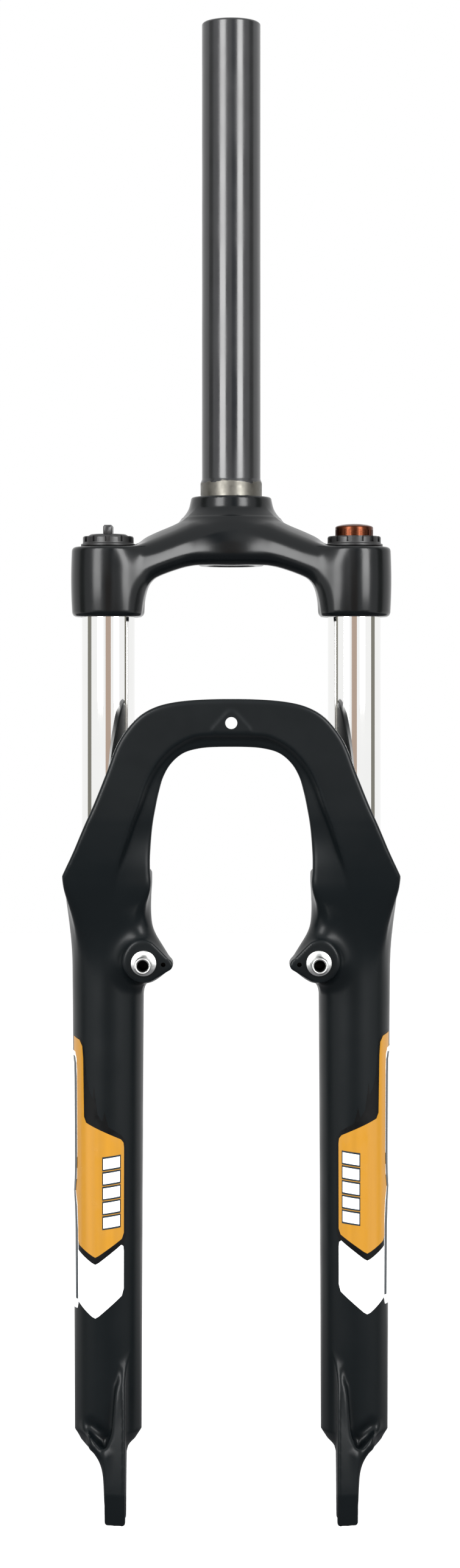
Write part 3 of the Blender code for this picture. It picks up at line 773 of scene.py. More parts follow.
class FORK_OT_stanchions(bpy.types.Operator):
    """Stanchions: chromed tubes pressed into the crown"""

    bl_idname = "fork.stanchions"
    bl_label = "Stanchions"

    def execute(self, context):
        plate = chrome_plate(context.scene.fork_colours.chrome)
        outline = [
            (TUBE_R, TUBE_HIGH.z), (TUBE_R, TUBE_HIGH.z - 0.003), (TUBE_R, TUBE_LOW.z + 0.004),
            (TUBE_R, TUBE_LOW.z + 0.001), (TUBE_R - 0.0006, TUBE_LOW.z), (0.0111, TUBE_LOW.z),
            (0.0111, TUBE_HIGH.z),
        ]
        on_both_sides("stanchion", outline, plate, "upper", "stanchion", segments=160)
        return {"FINISHED"}


# Top caps, knob and lever


def notches(size, at, count):
    """Blocks set evenly round the Z axis, to be cut from a head."""
    return [box(size, at, math.tau * k / count) for k in range(count)]


def cap_outline(node, head_r, well_r, well_floor, hole_r, skirt):
    """The section of a top cap: notched head, flange, grooved plug and hole."""
    low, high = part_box(node)
    seat = CROWN_LEG_TOP + 0.0003
    plug = 0.0108
    groove = -0.0306 if skirt else -0.0366
    outline = [
        (well_r, high.z), (head_r - 0.0004, high.z), (head_r, high.z - 0.0006), (head_r, seat + 0.0013),
        (head_r + 0.0009, seat + 0.0011), (head_r + 0.0009, seat), (plug, seat),
        (plug, groove + 0.0012), (plug - 0.0014, groove + 0.0012), (plug - 0.0014, groove - 0.0012),
        (plug, groove - 0.0012), (plug, low.z),
    ]
    if skirt:
        outline += [(0.0080, low.z), (0.0080, -0.0300), (hole_r, -0.0300)]
    else:
        outline += [(hole_r, low.z)]
    return outline + [(hole_r, well_floor), (well_r, well_floor)]


class FORK_OT_caps(bpy.types.Operator):
    """Top caps: black moulded caps with wrench notches, one for each leg"""

    bl_idname = "fork.caps"
    bl_label = "Top caps"

    def execute(self, context):
        plastic = moulded("cap_plastic", context.scene.fork_colours.plastic, 0.38)
        for node, side, head_r, well_r, floor, skirt, teeth in (
            ("preload_cap", 1, 0.0128, 0.0097, -0.0232, True, 14),
            ("lockout_cap", -1, 0.0122, 0.0099, -0.0236, False, 12),
        ):
            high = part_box(node)[1]
            outline = cap_outline(node, head_r, well_r, floor, 0.0032, skirt)
            piece = turned(f"{node}_finish", outline, segments=120, radius=0.0003)
            cuts = notches((0.0042, 0.0024, 0.0056), (head_r + 0.0008, 0, high.z), teeth)
            if skirt:
                cuts.append(box((0.0230, 0.0046, 0.0130), (0, 0, -0.0395), 0))
            combine(piece, cuts)
            shift(piece, side * LEG_X, LEG_Y)
            finish(piece, plastic, "upper", "cap", node)
        return {"FINISHED"}


class FORK_OT_preload_knob(bpy.types.Operator):
    """Preload knob: domed copper-coloured knob on its threaded screw"""

    bl_idname = "fork.preload_knob"
    bl_label = "Preload knob"

    def execute(self, context):
        top = KNOB_HIGH.z
        outline = [
            (0, top), (0.0035, top - 0.0001), (0.0064, top - 0.0005), (0.0085, top - 0.0011),
            (0.0091, top - 0.0016), (0.0091, KNOB_LOW.z + 0.0006), (0.0086, KNOB_LOW.z),
            (0.0022, KNOB_LOW.z), (0.0022, top - 0.0025), (0, top - 0.0025),
        ]
        knob = turned("preload_knob_finish", outline, segments=120, closed=False)
        combine(knob, notches((0.0011, 0.0011, 0.0060), (0.0094, 0, top - 0.0060), KNOB_FLUTES))
        screw_low, screw_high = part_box("preload_screw")
        thread = [(0, screw_high.z), (0.0018, screw_high.z), (0.0018, -0.0233), (0.0029, -0.0235)]
        pitch, thread_top = 0.0015, -0.0250
        for k in range(int((thread_top - screw_low.z) / pitch)):
            height = thread_top - k * pitch
            thread += [(0.0029, height), (0.0024, height - pitch * 0.45)]
        thread += [(0.0024, screw_low.z), (0, screw_low.z)]
        screw = turned("preload_screw_finish", thread, segments=48, closed=False, radius=0.00015)
        for piece in (knob, screw):
            shift(piece, LEG_X, LEG_Y)
        anodised = metal("knob_anodising", context.scene.fork_colours.knob, 0.26)
        finish(knob, anodised, "preload_knob", "knob", "preload_knob")
        zinc = metal("screw_zinc", (0.62, 0.62, 0.60), 0.3)
        finish(screw, zinc, "preload_knob", "steel", "preload_screw")
        return {"FINISHED"}


class FORK_OT_lockout_lever(bpy.types.Operator):
    """Lockout lever: a disc with a finger tab, on the damper's spindle"""

    bl_idname = "fork.lockout_lever"
    bl_label = "Lockout lever"

    def execute(self, context):
        low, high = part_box("lockout_lever")
        disc_top = high.z - 0.0042
        outline = [
            (0, disc_top), (0.0084, disc_top), (0.0095, disc_top - 0.0007), (0.0095, low.z),
            (0.0022, low.z), (0.0022, low.z + 0.0050), (0, low.z + 0.0050),
        ]
        lever = turned("lockout_lever_finish", outline, closed=False, segments=120)
        tab_points = []
        for y, half in ((-0.0081, 0.0016), (-0.0076, 0.0021), (-0.0030, 0.0024), (0.0030, 0.0024),
                        (0.0076, 0.0021), (0.0081, 0.0016)):
            drop = 0.0008 if abs(y) > 0.0080 else 0.0
            tab_points.append([(-half, y, low.z + 0.0018), (half, y, low.z + 0.0018),
                               (half, y, high.z - 0.0006 - drop), (half - 0.0005, y, high.z - drop),
                               (-half + 0.0005, y, high.z - drop), (-half, y, high.z - 0.0006 - drop)])
        combine(lever, [lofted(tab_points)], "UNION")
        spindle_low, spindle_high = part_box("lockout_spindle")
        spindle = turned(
            "lockout_spindle_finish",
            [(0, spindle_high.z), (0.0019, spindle_high.z), (0.0019, -0.0236), (0.0029, -0.0238),
             (0.0029, -0.0600), (0.0060, -0.0600), (0.0060, spindle_low.z), (0, spindle_low.z)],
            closed=False,
            segments=64,
        )
        for piece in (lever, spindle):
            shift(piece, -LEG_X, LEG_Y)
        plastic = moulded("lever_plastic", tinted(context.scene.fork_colours.plastic, 1.4), 0.34)
        finish(lever, plastic, "lockout_lever", "cap", "lockout_lever")
        steel = metal("spindle_steel", (0.55, 0.55, 0.56), 0.3)
        finish(spindle, steel, "lockout_lever", "steel", "lockout_spindle")
        return {"FINISHED"}


def lofted(rings):
    """Points and faces of a closed solid through rings of equal count."""
    count = len(rings[0])
    points = [p for ring in rings for p in ring]
    faces = [list(range(count)), list(range(len(points) - 1, len(points) - count - 1, -1))]
    for r in range(len(rings) - 1):
        for k in range(count):
            after = (k + 1) % count
            here, there = r * count, (r + 1) * count
            faces.append([here + k, there + k, there + after, here + after])
    return points, faces


# The cast lower legs

LEG_RADIUS = curve(
    [(-0.4484, 0.0160), (-0.380, 0.01629), (-0.300, 0.01669), (-0.250, 0.01698), (-0.235, 0.0171),
     (-0.224, 0.0172), (-0.215, 0.0176), (-0.207, 0.0183), (-0.201, 0.0190), (-0.195, 0.0198),
     (-0.189, 0.0205), (-0.184, 0.0208), (-0.176, 0.0209)]
)
LEG_FOOT = [(LEG_END, 0.0086), (-0.4557, 0.0102), (-0.4530, 0.0130), (-0.4484, 0.0160)]


def leg_radius(z):
    """The lower leg's radius at a height, foot cone included."""
    table = np.vstack([LEG_FOOT[:-1], LEG_RADIUS])
    return np.interp(z, table[:, 0], table[:, 1])


ARCH_OUTER = [
    (-0.008, -0.0984), (0.006, -0.0984), (0.018, -0.0989), (0.028, -0.1001), (0.0360, -0.1023),
    (0.0430, -0.1062), (0.0488, -0.1122), (0.0540, -0.1204), (0.0592, -0.1340), (0.0648, -0.1480),
    (0.0698, -0.1592), (0.0748, -0.1710), (0.0801, -0.1822),
]
ARCH_INNER = [
    (0.0404, -0.2070), (0.0390, -0.1985), (0.0376, -0.1880), (0.0382, -0.1790), (0.0381, -0.1710),
    (0.0371, -0.1590), (0.0352, -0.1480), (0.0338, -0.1418), (0.0318, -0.1352), (0.0282, -0.1291),
    (0.0225, -0.1243), (0.0150, -0.1221), (0.0060, -0.1214), (-0.008, -0.1214),
]
ARCH_RIDGE = [
    (0.0590, -0.2050), (0.0572, -0.1920), (0.0550, -0.1795), (0.0509, -0.1670), (0.0476, -0.1570),
    (0.0443, -0.1485), (0.0410, -0.1390), (0.0370, -0.1310), (0.0320, -0.1246), (0.0270, -0.1203),
    (0.0205, -0.1167), (0.0130, -0.1150), (-0.008, -0.1148),
]
SHOULDER = [
    (0.0797, -0.1890), (0.0788, -0.1970), (0.0775, -0.2070), (0.0764, -0.2200), (0.0761, -0.2420),
]


def arch_solid():
    """The arch's distance, and how far it has turned into the round leg below it.

    Its front face ends at a ridge, from which a recessed lip runs to the inner edge.
    """
    outer = curve(ARCH_OUTER)
    whole = Chart(np.vstack([outer, SHOULDER, [(0.0420, -0.2420)], curve(ARCH_INNER)]))
    face = Chart(np.vstack([outer, SHOULDER, [(0.060, -0.2420)], curve(ARCH_RIDGE)]))
    triangle = rounded([(0.0, -0.1024), (0.0108, -0.1142), (-0.0108, -0.1142)], 0.0038, 6)
    badge = Chart(triangle, pitch=0.0003, margin=0.008)
    badge_height, lip_step, lip_slope, draft = 0.0003, 0.0040, 0.27, 0.085
    sweep = table_of(
        [(-0.2450, 0.0170), (-0.2300, 0.0155), (-0.2150, 0.0128), (-0.2050, 0.0102), (-0.1950, 0.0074),
         (-0.1850, 0.0047), (-0.1750, 0.0024), (-0.1600, 0.0006), (-0.1450, 0.0), (-0.0900, 0.0)]
    )

    def distance(x, y, z):
        lip = np.clip(face(x, z), 0, 0.016)
        fade = eased(z, -0.198, -0.160)
        recess = lip_step * eased(lip, 0, 0.0034) + lip_slope * lip
        front = ARCH_FRONT + sweep(z) + recess * fade
        front = front - badge_height * eased(badge(x, z), 0.0012, -0.0010)
        outline = whole(x, z) + draft * np.clip(y - front, 0, 0.04)
        plate = fillet_max(outline, front - y, 0.0022 + 0.0038 * eased(z, -0.176, -0.206))
        high = fillet_max(plate, y - ARCH_BACK, 0.0024)
        shoulder = fillet_max(plate, z - LEG_TOP - 0.0004, 0.0008)
        shoulder = fillet_max(shoulder, y - LEG_Y + 0.002, 0.004)
        round_leg = np.hypot(x - LEG_X, y - LEG_Y) - leg_radius(z)
        share = eased(z, -0.184, -0.238)
        plate = np.minimum(high, shoulder)
        return np.maximum(plate + (round_leg - plate) * share, -0.300 - z), share

    return distance


def hanger_solid():
    """The distance of a fork end: plate, rib up the leg's front and web out to the foot."""
    tip = TIP_Z + 0.0016
    slot_r = 0.0045
    slot = arc((AXLE_Y, AXLE_Z), slot_r, 180, 0, 15)
    plate = np.vstack(
        [
            curve([(-0.0330, -0.4060), (-0.0392, -0.4115), (-0.0440, -0.4195), (-0.0478, -0.4300),
                   (-0.0506, -0.4430), (-0.0530, -0.4570), (-0.0546, -0.4690), (-0.0552, -0.4750)]),
            [(-0.0544, -0.4790), (-0.0530, -0.4850)],
            [(-0.0508, tip), (AXLE_Y - slot_r, tip)],
            slot,
            [(AXLE_Y + slot_r, tip), (-0.0335, tip)],
            curve([(-0.0312, -0.4870), (-0.0300, -0.4800), (-0.0275, -0.4690), (-0.0240, -0.4600),
                   (-0.0240, -0.4500), (-0.0300, -0.4250)]),
        ]
    )
    side_view = Chart(plate)
    outside = table_of(
        [(-0.500, 0.0600), (-0.460, 0.0600), (-0.453, 0.0590), (-0.446, 0.0566), (-0.428, 0.0550),
         (-0.422, 0.0534), (-0.414, 0.0518), (-0.404, 0.0509)]
    )
    web = Chart(
        np.vstack(
            [
                [(0.0570, -0.4560), (0.0592, -0.4550), (0.0640, -0.4500), (0.0680, -0.4470)],
                curve([(0.0684, -0.4530), (0.0674, -0.4552), (0.0655, -0.4569), (0.0635, -0.4596),
                       (0.0618, -0.4630), (0.0605, -0.4668), (0.0596, -0.4720), (0.0588, -0.4780)]),
                [(0.0560, -0.4780)],
            ]
        )
    )

    inside, brace_back = HUB_HALF + 0.0002, -0.030

    def distance(x, y, z):
        middle, half = (outside(z) + inside) / 2, (outside(z) - inside) / 2
        slant = 0.26 * np.clip(x - inside, 0, 0.010) * eased(-y, 0.0462, 0.0500)
        edge = np.clip(half, 0.0004, 0.0018)
        blade = fillet_max(side_view(y - slant, z), np.abs(x - middle) - half, edge)
        front = -0.0505 + np.clip(x - 0.060, 0, 0.01) * 0.45
        brace_side = np.abs(y - (front + brace_back) / 2) - (brace_back - front) / 2
        brace = fillet_max(web(x, z), brace_side, 0.0040)
        return blade, brace

    return distance


def lowers_solid(fillet):
    """The casting's distance: legs, arch, brake bosses and fork ends, filleted together."""
    arch, hanger = arch_solid(), hanger_solid()
    round_end = arc((STUD_X, STUD_Z), 0.0092, 112, -112, 33)
    ear = arc((0.0306, STUD_Z - 0.0010), 0.0029, 250, 110, 11)
    pad = Chart(np.vstack([round_end, ear]), margin=0.010)

    def distance(p):
        x, y, z = np.abs(p[:, 0]), p[:, 1], p[:, 2]
        side = np.stack([x, y, z], 1)
        leg = (np.hypot(x - LEG_X, y - LEG_Y) - leg_radius(z)) * 0.98
        leg = fillet_max(leg, z - LEG_TOP, 0.0012)
        leg = fillet_max(leg, LEG_END - z, 0.0008)
        boss = fillet_max(pad(x, z), np.abs(y - BOSS_FACE - 0.0065) - 0.0065, 0.0009)
        neck_end = (STUD_X + 0.0010, -0.0200, STUD_Z)
        neck = capsule(side, (STUD_X, -0.0430, STUD_Z), neck_end, 0.0088, 0.0090)
        fairing_foot = (STUD_X + 0.0010, -0.0420, STUD_Z + 0.0030)
        fairing = capsule(side, fairing_foot, (0.0464, -0.0380, -0.1960), 0.0078, 0.0052)
        brake = fillet_min(fillet_min(boss, neck, 0.0030), fairing, 0.0100)
        brake = fillet_max(brake, BOSS_FACE - y, 0.0008)
        blade, brace = hanger(x, y, z)
        plate, share = arch(x, y, z)
        whole = fillet_min(leg, plate, fillet * (1.001 - share))
        whole = fillet_min(whole, brake, 0.0080)
        whole = fillet_min(whole, brace, 0.0060)
        scoop = capsule(side, (0.0668, -0.0424, -0.4448), (0.0590, -0.0462, -0.4506), 0.0010, 0.0019)
        whole = fillet_max(whole, -scoop, 0.0050)
        return fillet_min(whole, blade, 0.0028)

    return distance


def drilled(radius, end, segments, x, z):
    """A cutter that comes from the front and ends at a depth."""
    outline = [(0, 0.08), (radius, 0.08), (radius, end), (0, end)]
    points, faces = lathe(outline, segments, closed=False)
    return placed(frontward(points), x, 0, z), faces


def casting_cuts():
    """Everything bored or drilled in the casting."""
    well = [(0, LEG_TOP + 0.01), (0.0180, LEG_TOP + 0.01), (0.0180, -0.1872), (0.0145, -0.1872),
            (0.0145, -0.4380), (0.0115, -0.4410), (0.0033, -0.4410), (0.0033, -0.4500),
            (0.0060, -0.4500), (0.0060, -0.4700), (0, -0.4700)]
    leg_well = lathe(rounded(well, 0.0004, closed=False), closed=False)
    stud_r, pin_r, pin_x, pin_drop = 0.0043, 0.0011, 0.0322, 0.0008
    badge_hole_r, badge_hole_z = 0.00285, -0.1099
    cuts = []
    for _, side in SIDES:
        cuts.append(moved(leg_well, side * LEG_X, LEG_Y))
        cuts.append(drilled(stud_r, 0.0400, 64, side * STUD_X, STUD_Z))
        cuts.append(drilled(pin_r, 0.0425, 32, side * pin_x, STUD_Z - pin_drop))
    return [*cuts, drilled(badge_hole_r, 0.03, 64, 0, badge_hole_z)]


class FORK_OT_lowers(bpy.types.Operator):
    """Lower legs, arch, brake bosses and fork ends: one casting in satin black"""

    bl_idname = "fork.lowers"
    bl_label = "Lower legs and arch"

    def execute(self, context):
        sizes = context.scene.fork_sizes
        casting = lowers_solid(sizes.fillet)
        points, faces = skin(casting, *with_room(CAST_LOW, CAST_HIGH), sizes.cell)
        piece = mesh_object("lowers_finish", points, faces, sharp=60)
        combine(piece, casting_cuts(), sharp=50)
        paint = satin_paint("casting_paint", context.scene.fork_colours.casting)
        finish(piece, paint, "lowers", "lowers", "lowers_casting")
        return {"FINISHED"}


# Graphics on the legs


def wrapped(name, outline, side, lift, rise=0.0, pitch=0.0012):
    """A thin vinyl shape on a leg's skin, from (degrees from the front, height) points."""
    middle = 0.0166
    flat = [(math.radians(a) * middle, z) for a, z in outline]
    bm = bmesh.new()
    bm.faces.new([bm.verts.new((u, v, 0)) for u, v in flat])
    low, high = np.min(flat, 0), np.max(flat, 0)
    for axis, spacing in ((0, pitch), (1, pitch * 4)):
        normal = (1, 0, 0) if axis == 0 else (0, 1, 0)
        count = int((high[axis] - low[axis]) / spacing)
        for k in range(1, count + 1):
            place = low[axis] + (high[axis] - low[axis]) * k / (count + 1)
            bmesh.ops.bisect_plane(
                bm,
                geom=[*bm.verts, *bm.edges, *bm.faces],
                plane_co=(place, 0, 0) if axis == 0 else (0, place, 0),
                plane_no=normal,
            )
    bm.normal_update()
    for vert in bm.verts:
        angle, z = vert.co.x / middle, vert.co.y + rise
        radius = float(leg_radius(z)) + lift
        vert.co = (
            side * (LEG_X - radius * math.sin(angle)),
            LEG_Y - radius * math.cos(angle),
            z,
        )
    bmesh.ops.recalc_face_normals(bm, faces=bm.faces)
    axis = Vector((side * LEG_X, LEG_Y, 0))
    outward = [(face.calc_center_median() - axis) * Vector((1, 1, 0)) for face in bm.faces]
    if sum(face.normal.dot(way) for face, way in zip(bm.faces, outward)) < 0:
        bmesh.ops.reverse_faces(bm, faces=bm.faces)
    mesh = bpy.data.meshes.new(name)
    bm.to_mesh(mesh)
    bm.free()
    mesh.shade_smooth()
    made = bpy.data.objects.new(name, mesh)
    bpy.context.scene.collection.objects.link(made)
    thick = made.modifiers.new("thickness", "SOLIDIFY")
    thick.thickness = lift * 2.2
    thick.offset = -1
    apply_modifiers(made)
    made.data.set_sharp_from_angle(angle=math.radians(35))
    return made


def join_objects(name, pieces):
    """Several objects as one."""
    shapes = []
    for piece in pieces:
        points = [vertex.co[:] for vertex in piece.data.vertices]
        shapes.append((points, [list(face.vertices) for face in piece.data.polygons]))
        bpy.data.objects.remove(piece)
    return mesh_object(name, *merged(shapes))


GOLD_PANEL = [
    (-72, -0.2596), (-52, -0.2611), (-45, -0.2640), (-43, -0.2700), (-41.5, -0.2975), (-37, -0.3003),
    (23, -0.3080), (27.5, -0.3096), (28.5, -0.3120), (28.5, -0.3525), (25, -0.3553), (-14, -0.3634),
    (-20, -0.3643), (-26, -0.3635), (-54, -0.3590), (-62, -0.3545), (-72, -0.3500),
]
WHITE_CHEVRON = [
    (-60, -0.3612), (-26, -0.3670), (-20, -0.3677), (-14, -0.3668), (24, -0.3582), (27.5, -0.3588),
    (28.5, -0.3610), (28.5, -0.3790), (25, -0.3824), (-14, -0.3922), (-20, -0.3932), (-26, -0.3925),
    (-60, -0.3855),
]
SIDE_PANEL = [
    (-66, -0.2670), (-61, -0.2700), (-59.5, -0.2760), (-59.5, -0.3150), (-61, -0.3270), (-66, -0.3330),
    (-60, -0.3400), (-58, -0.3500), (-57.5, -0.3860), (-62, -0.3895), (-118, -0.3895), (-122, -0.3860),
    (-122, -0.2700), (-118, -0.2655),
]
SIDE_LINE = [
    (-70, -0.2690), (-65, -0.2725), (-64, -0.2800), (-64, -0.3200), (-66, -0.3280), (-70, -0.3335),
    (-65, -0.3410), (-62.5, -0.3520), (-62, -0.3850),
]
DARK_FIELD = [
    (-70, -0.2583), (-50, -0.2596), (-41.5, -0.2632), (-39, -0.2700), (-36, -0.2790), (-31, -0.2850),
    (-24, -0.2890), (-22, -0.2830), (-16, -0.2960), (-8, -0.2995), (-4, -0.2950), (2, -0.3020),
    (25, -0.3062), (32, -0.3095), (33, -0.3130), (33, -0.3540), (26, -0.3600), (20, -0.3700),
    (-20, -0.3790), (-62, -0.3720),
]


def bars(side, lift, rise, grow=0.0):
    """Slanted bars, one above the other, drawn as plain blocks; grow adds a border round each."""
    first, pitch, height, slant = -0.3160, 0.0070, 0.0050, 0.0012
    middle, half = 7.5, 13.5 + grow * 3500
    left, right = middle - half, middle + half
    made = []
    for k in range(BAR_COUNT):
        top = first - k * pitch
        foot = top - height - grow * 1.6
        crest = top + grow * 1.6
        outline = [(left, crest - slant), (right, crest), (right, foot), (left, foot - slant)]
        made.append(wrapped("bar", outline, side, lift, rise))
    return made


class FORK_OT_graphics(bpy.types.Operator):
    """Leg graphics: golden panel, white chevron, side panel and plain bars, as thin vinyl"""

    bl_idname = "fork.graphics"
    bl_label = "Leg graphics"

    def execute(self, context):
        colours = context.scene.fork_colours
        lift = context.scene.fork_sizes.graphic_lift
        dark = vinyl("dark_vinyl", (0.0016, 0.0018, 0.0020), roughness=0.30, shine=0.2), "graphic_dark"
        gold = vinyl("gold_vinyl", colours.gold, streaks=0.18), "graphic_gold"
        white = vinyl("white_vinyl", colours.white), "graphic_white"
        slate = vinyl("slate_vinyl", colours.slate), "graphic_dark"
        half = 4.2
        line = [(a - half, z) for a, z in SIDE_LINE] + [(a + half, z) for a, z in reversed(SIDE_LINE)]
        for name, side in SIDES:
            rise = 0.0020 if side > 0 else 0.0
            for label, outline, layer, (material, slot) in (
                ("dark_field", DARK_FIELD, 0.5, dark),
                ("gold_panel", GOLD_PANEL, 2, gold),
                ("white_chevron", WHITE_CHEVRON, 2, white),
                ("side_panel", SIDE_PANEL, 3, white),
                ("side_line", line, 4, slate),
            ):
                piece = wrapped(f"{label}_{name}", outline, side, lift * layer, rise)
                finish(piece, material, "lowers", slot)
            for label, layer, grow, (material, slot) in (
                ("bar_outlines", 3, 0.0005, slate),
                ("bars", 4, 0.0, white),
            ):
                piece = join_objects(f"{label}_{name}", bars(side, lift * layer, rise, grow))
                finish(piece, material, "lowers", slot)
        return {"FINISHED"}


# Fittings on the lower legs


class FORK_OT_wipers(bpy.types.Operator):
    """Dust wipers: rubber lips on the legs' tops"""

    bl_idname = "fork.wipers"
    bl_label = "Dust wipers"

    def execute(self, context):
        rubber = seal_rubber()
        seat = LEG_TOP + 0.0003
        outline = [
            (0.0136, WIPER_HIGH.z), (0.0150, WIPER_HIGH.z - 0.0005), (0.0158, WIPER_HIGH.z - 0.0022),
            (0.0168, WIPER_HIGH.z - 0.0028), (0.0186, WIPER_HIGH.z - 0.0034), (0.0192, seat + 0.0012),
            (0.0192, seat), (0.0177, seat), (0.0177, WIPER_LOW.z), (0.0150, WIPER_LOW.z),
            (0.0150, WIPER_HIGH.z - 0.0045), (0.0129, WIPER_HIGH.z - 0.0024),
            (0.0129, WIPER_HIGH.z - 0.0003),
        ]
        on_both_sides("dust_wiper", outline, rubber, "lowers", "rubber", segments=120)
        return {"FINISHED"}


class FORK_OT_brake_studs(bpy.types.Operator):
    """Brake studs: bright turned pivots with a threaded hole in the end"""

    bl_idname = "fork.brake_studs"
    bl_label = "Brake studs"

    def execute(self, context):
        steel = metal("stud_steel", (0.74, 0.75, 0.74), 0.3, (1, 8, 1))
        # near-black metal for the tapped hole's faces: painted shade in the hole
        thread = metal("stud_hole_painted_shade", (0.03, 0.03, 0.03), 0.5, (1, 8, 1))
        face, tip = -BOSS_FACE + 0.0003, -STUD_LOW.y
        outline = [
            (0, 0.0412), (0.0040, 0.0412), (0.0040, face), (0.0060, face), (0.0060, face + 0.0022),
            (0.0041, face + 0.0026), (0.0041, tip - 0.0008), (0.0036, tip), (0.0031, tip),
            (0.0026, tip - 0.0006),
        ]
        for k in range(9):
            height = tip - 0.0012 - k * 0.0010
            outline += [(0.0026, height), (0.0023, height - 0.0005)]
        outline += [(0.0023, tip - 0.0146), (0, tip - 0.0146)]
        hole_r = 0.00265
        studs = on_both_sides(
            "brake_stud", outline, steel, "lowers", "steel", (STUD_X, 0, STUD_Z), closed=False,
            radius=0.0002, segments=72, front=True,
        )
        for piece, (_, side) in zip(studs, SIDES):
            # the second material paints shade on the faces inside the tapped hole
            piece.data.materials.append(thread)
            for face in piece.data.polygons:
                x, _, z = face.center
                inside = math.hypot(x - side * STUD_X, z - STUD_Z) < hole_r
                face.material_index = 1 if inside else 0
        return {"FINISHED"}


class FORK_OT_foot_bolts(bpy.types.Operator):
    """Foot bolts and washers: hexagon-socket bolts up into the rods"""

    bl_idname = "fork.foot_bolts"
    bl_label = "Foot bolts"

    def execute(self, context):
        zinc = metal("bolt_zinc", (0.58, 0.58, 0.57), 0.28)
        head = -0.4517
        outline = [(0, BOLT_HIGH.z), (0.0030, BOLT_HIGH.z), (0.0030, head), (0.0050, head),
                   (0.0050, BOLT_LOW.z + 0.0006), (0.0046, BOLT_LOW.z), (0, BOLT_LOW.z)]
        hexagon = arc((0, 0), 0.0029, 0, 300, 6)
        socket = lofted([[(x, y, z) for x, y in hexagon] for z in (-0.4535, -0.4600)])
        washer = [(0.0056, -0.4503), (0.0056, -0.4514), (0.0034, -0.4514), (0.0034, -0.4503)]
        for name, side in SIDES:
            bolt = turned(f"foot_bolt_{name}_finish", outline, closed=False, segments=64)
            combine(bolt, [socket])
            shift(bolt, side * LEG_X, LEG_Y)
            finish(bolt, zinc, "lowers", "steel", f"foot_bolt_{name}")
            ring = turned(f"foot_washer_{name}_finish", washer, (side * LEG_X, LEG_Y, 0), radius=0.0002)
            finish(ring, zinc, "lowers", "steel", f"foot_washer_{name}")
        return {"FINISHED"}


# Inside the legs


class FORK_OT_spring(bpy.types.Operator):
    """Coil spring: round wire with closed ends"""

    bl_idname = "fork.spring"
    bl_label = "Coil spring"

    def execute(self, context):
        wire_r, coil_r, turns, per_turn, sides = 0.0018, 0.0083, 12, 40, 12
        nut_travel, travel = 0.0062, 0.080
        top = SPRING_HIGH.z - nut_travel
        low, high = SPRING_LOW.z + 0.0003, top - 0.0003
        steps = turns * per_turn
        rings = []
        for k in range(steps + 1):
            along = k / steps
            climbed = along - 0.077 * math.sin(math.tau * along)
            height = low + wire_r + (high - low - 2 * wire_r) * climbed
            angle = math.tau * k / per_turn
            ring = []
            for s in range(sides):
                around = math.tau * s / sides
                reach = coil_r + wire_r * math.cos(around)
                ring.append((LEG_X + reach * math.cos(angle), LEG_Y + reach * math.sin(angle),
                             height + wire_r * math.sin(around)))
            rings.append(ring)
        piece = mesh_object("coil_spring_finish", *lofted(rings))
        steel = metal("spring_steel", (0.30, 0.30, 0.32), 0.32)
        finish(piece, steel, "upper", "steel", "coil_spring")
        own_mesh(piece)
        return {"FINISHED"}


class FORK_OT_hidden_parts(bpy.types.Operator):
    """Rods, cartridge, guides, bushings, bumpers and seals: the CAD solids in their own finishes"""

    bl_idname = "fork.hidden_parts"
    bl_label = "Hidden parts"

    def execute(self, context):
        looks = {
            metal("rod_steel", (0.60, 0.60, 0.62), 0.14): ("spring_rod", "damper_rod"),
            metal("cartridge_aluminium", (0.70, 0.71, 0.72), 0.3): ("damper_cartridge",),
            moulded("guide_nylon", (0.70, 0.68, 0.60), 0.5): (
                "spring_rod_guide", "damper_seal_head", "preload_nut", "upper_bushing_left",
                "upper_bushing_right", "lower_bushing_left", "lower_bushing_right",
            ),
            moulded("bumper_rubber", (0.02, 0.02, 0.022), 0.62): (
                "top_out_bumper", "bottom_out_bumper_left", "bottom_out_bumper_right",
                "preload_cap_seal", "lockout_cap_seal",
            ),
        }
        for material, nodes in looks.items():
            for node in nodes:
                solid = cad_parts[node]
                solid.data.materials.clear()
                solid.data.materials.append(material)
        return {"FINISHED"}


# The studio


def glow(name, tint, strength):
    """A plain light-emitting material for panels and cards."""
    made = bpy.data.materials.new(name)
    made.use_nodes = True
    tree = made.node_tree
    tree.nodes.clear()
    emission = tree.nodes.new("ShaderNodeEmission")
    emission.inputs["Color"].default_value = (*tint, 1)
    emission.inputs["Strength"].default_value = strength
    output = tree.nodes.new("ShaderNodeOutputMaterial")
    tree.links.new(emission.outputs[0], output.inputs["Surface"])
    return made


def level(name, low, high, z):
    """A level sheet between two corners."""
    (x0, y0), (x1, y1) = low, high
    return mesh_object(name, [(x0, y0, z), (x1, y0, z), (x1, y1, z), (x0, y1, z)], [[0, 1, 2, 3]])


def at_bearing(bearing, distance, z=0.0):
    """A place round the fork, at a bearing in degrees off the camera's side."""
    angle = math.radians(bearing)
    return Vector((distance * math.sin(angle), -distance * math.cos(angle), z))


def card(name, bearing, distance, width, low, high, material):
    """An upright card that only reflections see."""
    centre, across = at_bearing(bearing, distance), at_bearing(bearing + 90, width / 2)
    corners = [centre - across, centre + across]
    points = [(c.x, c.y, z) for c, z in zip((*corners, *reversed(corners)), (low, low, high, high))]
    hide_from_camera(mesh_object(name, points, [[0, 1, 2, 3]]), material)


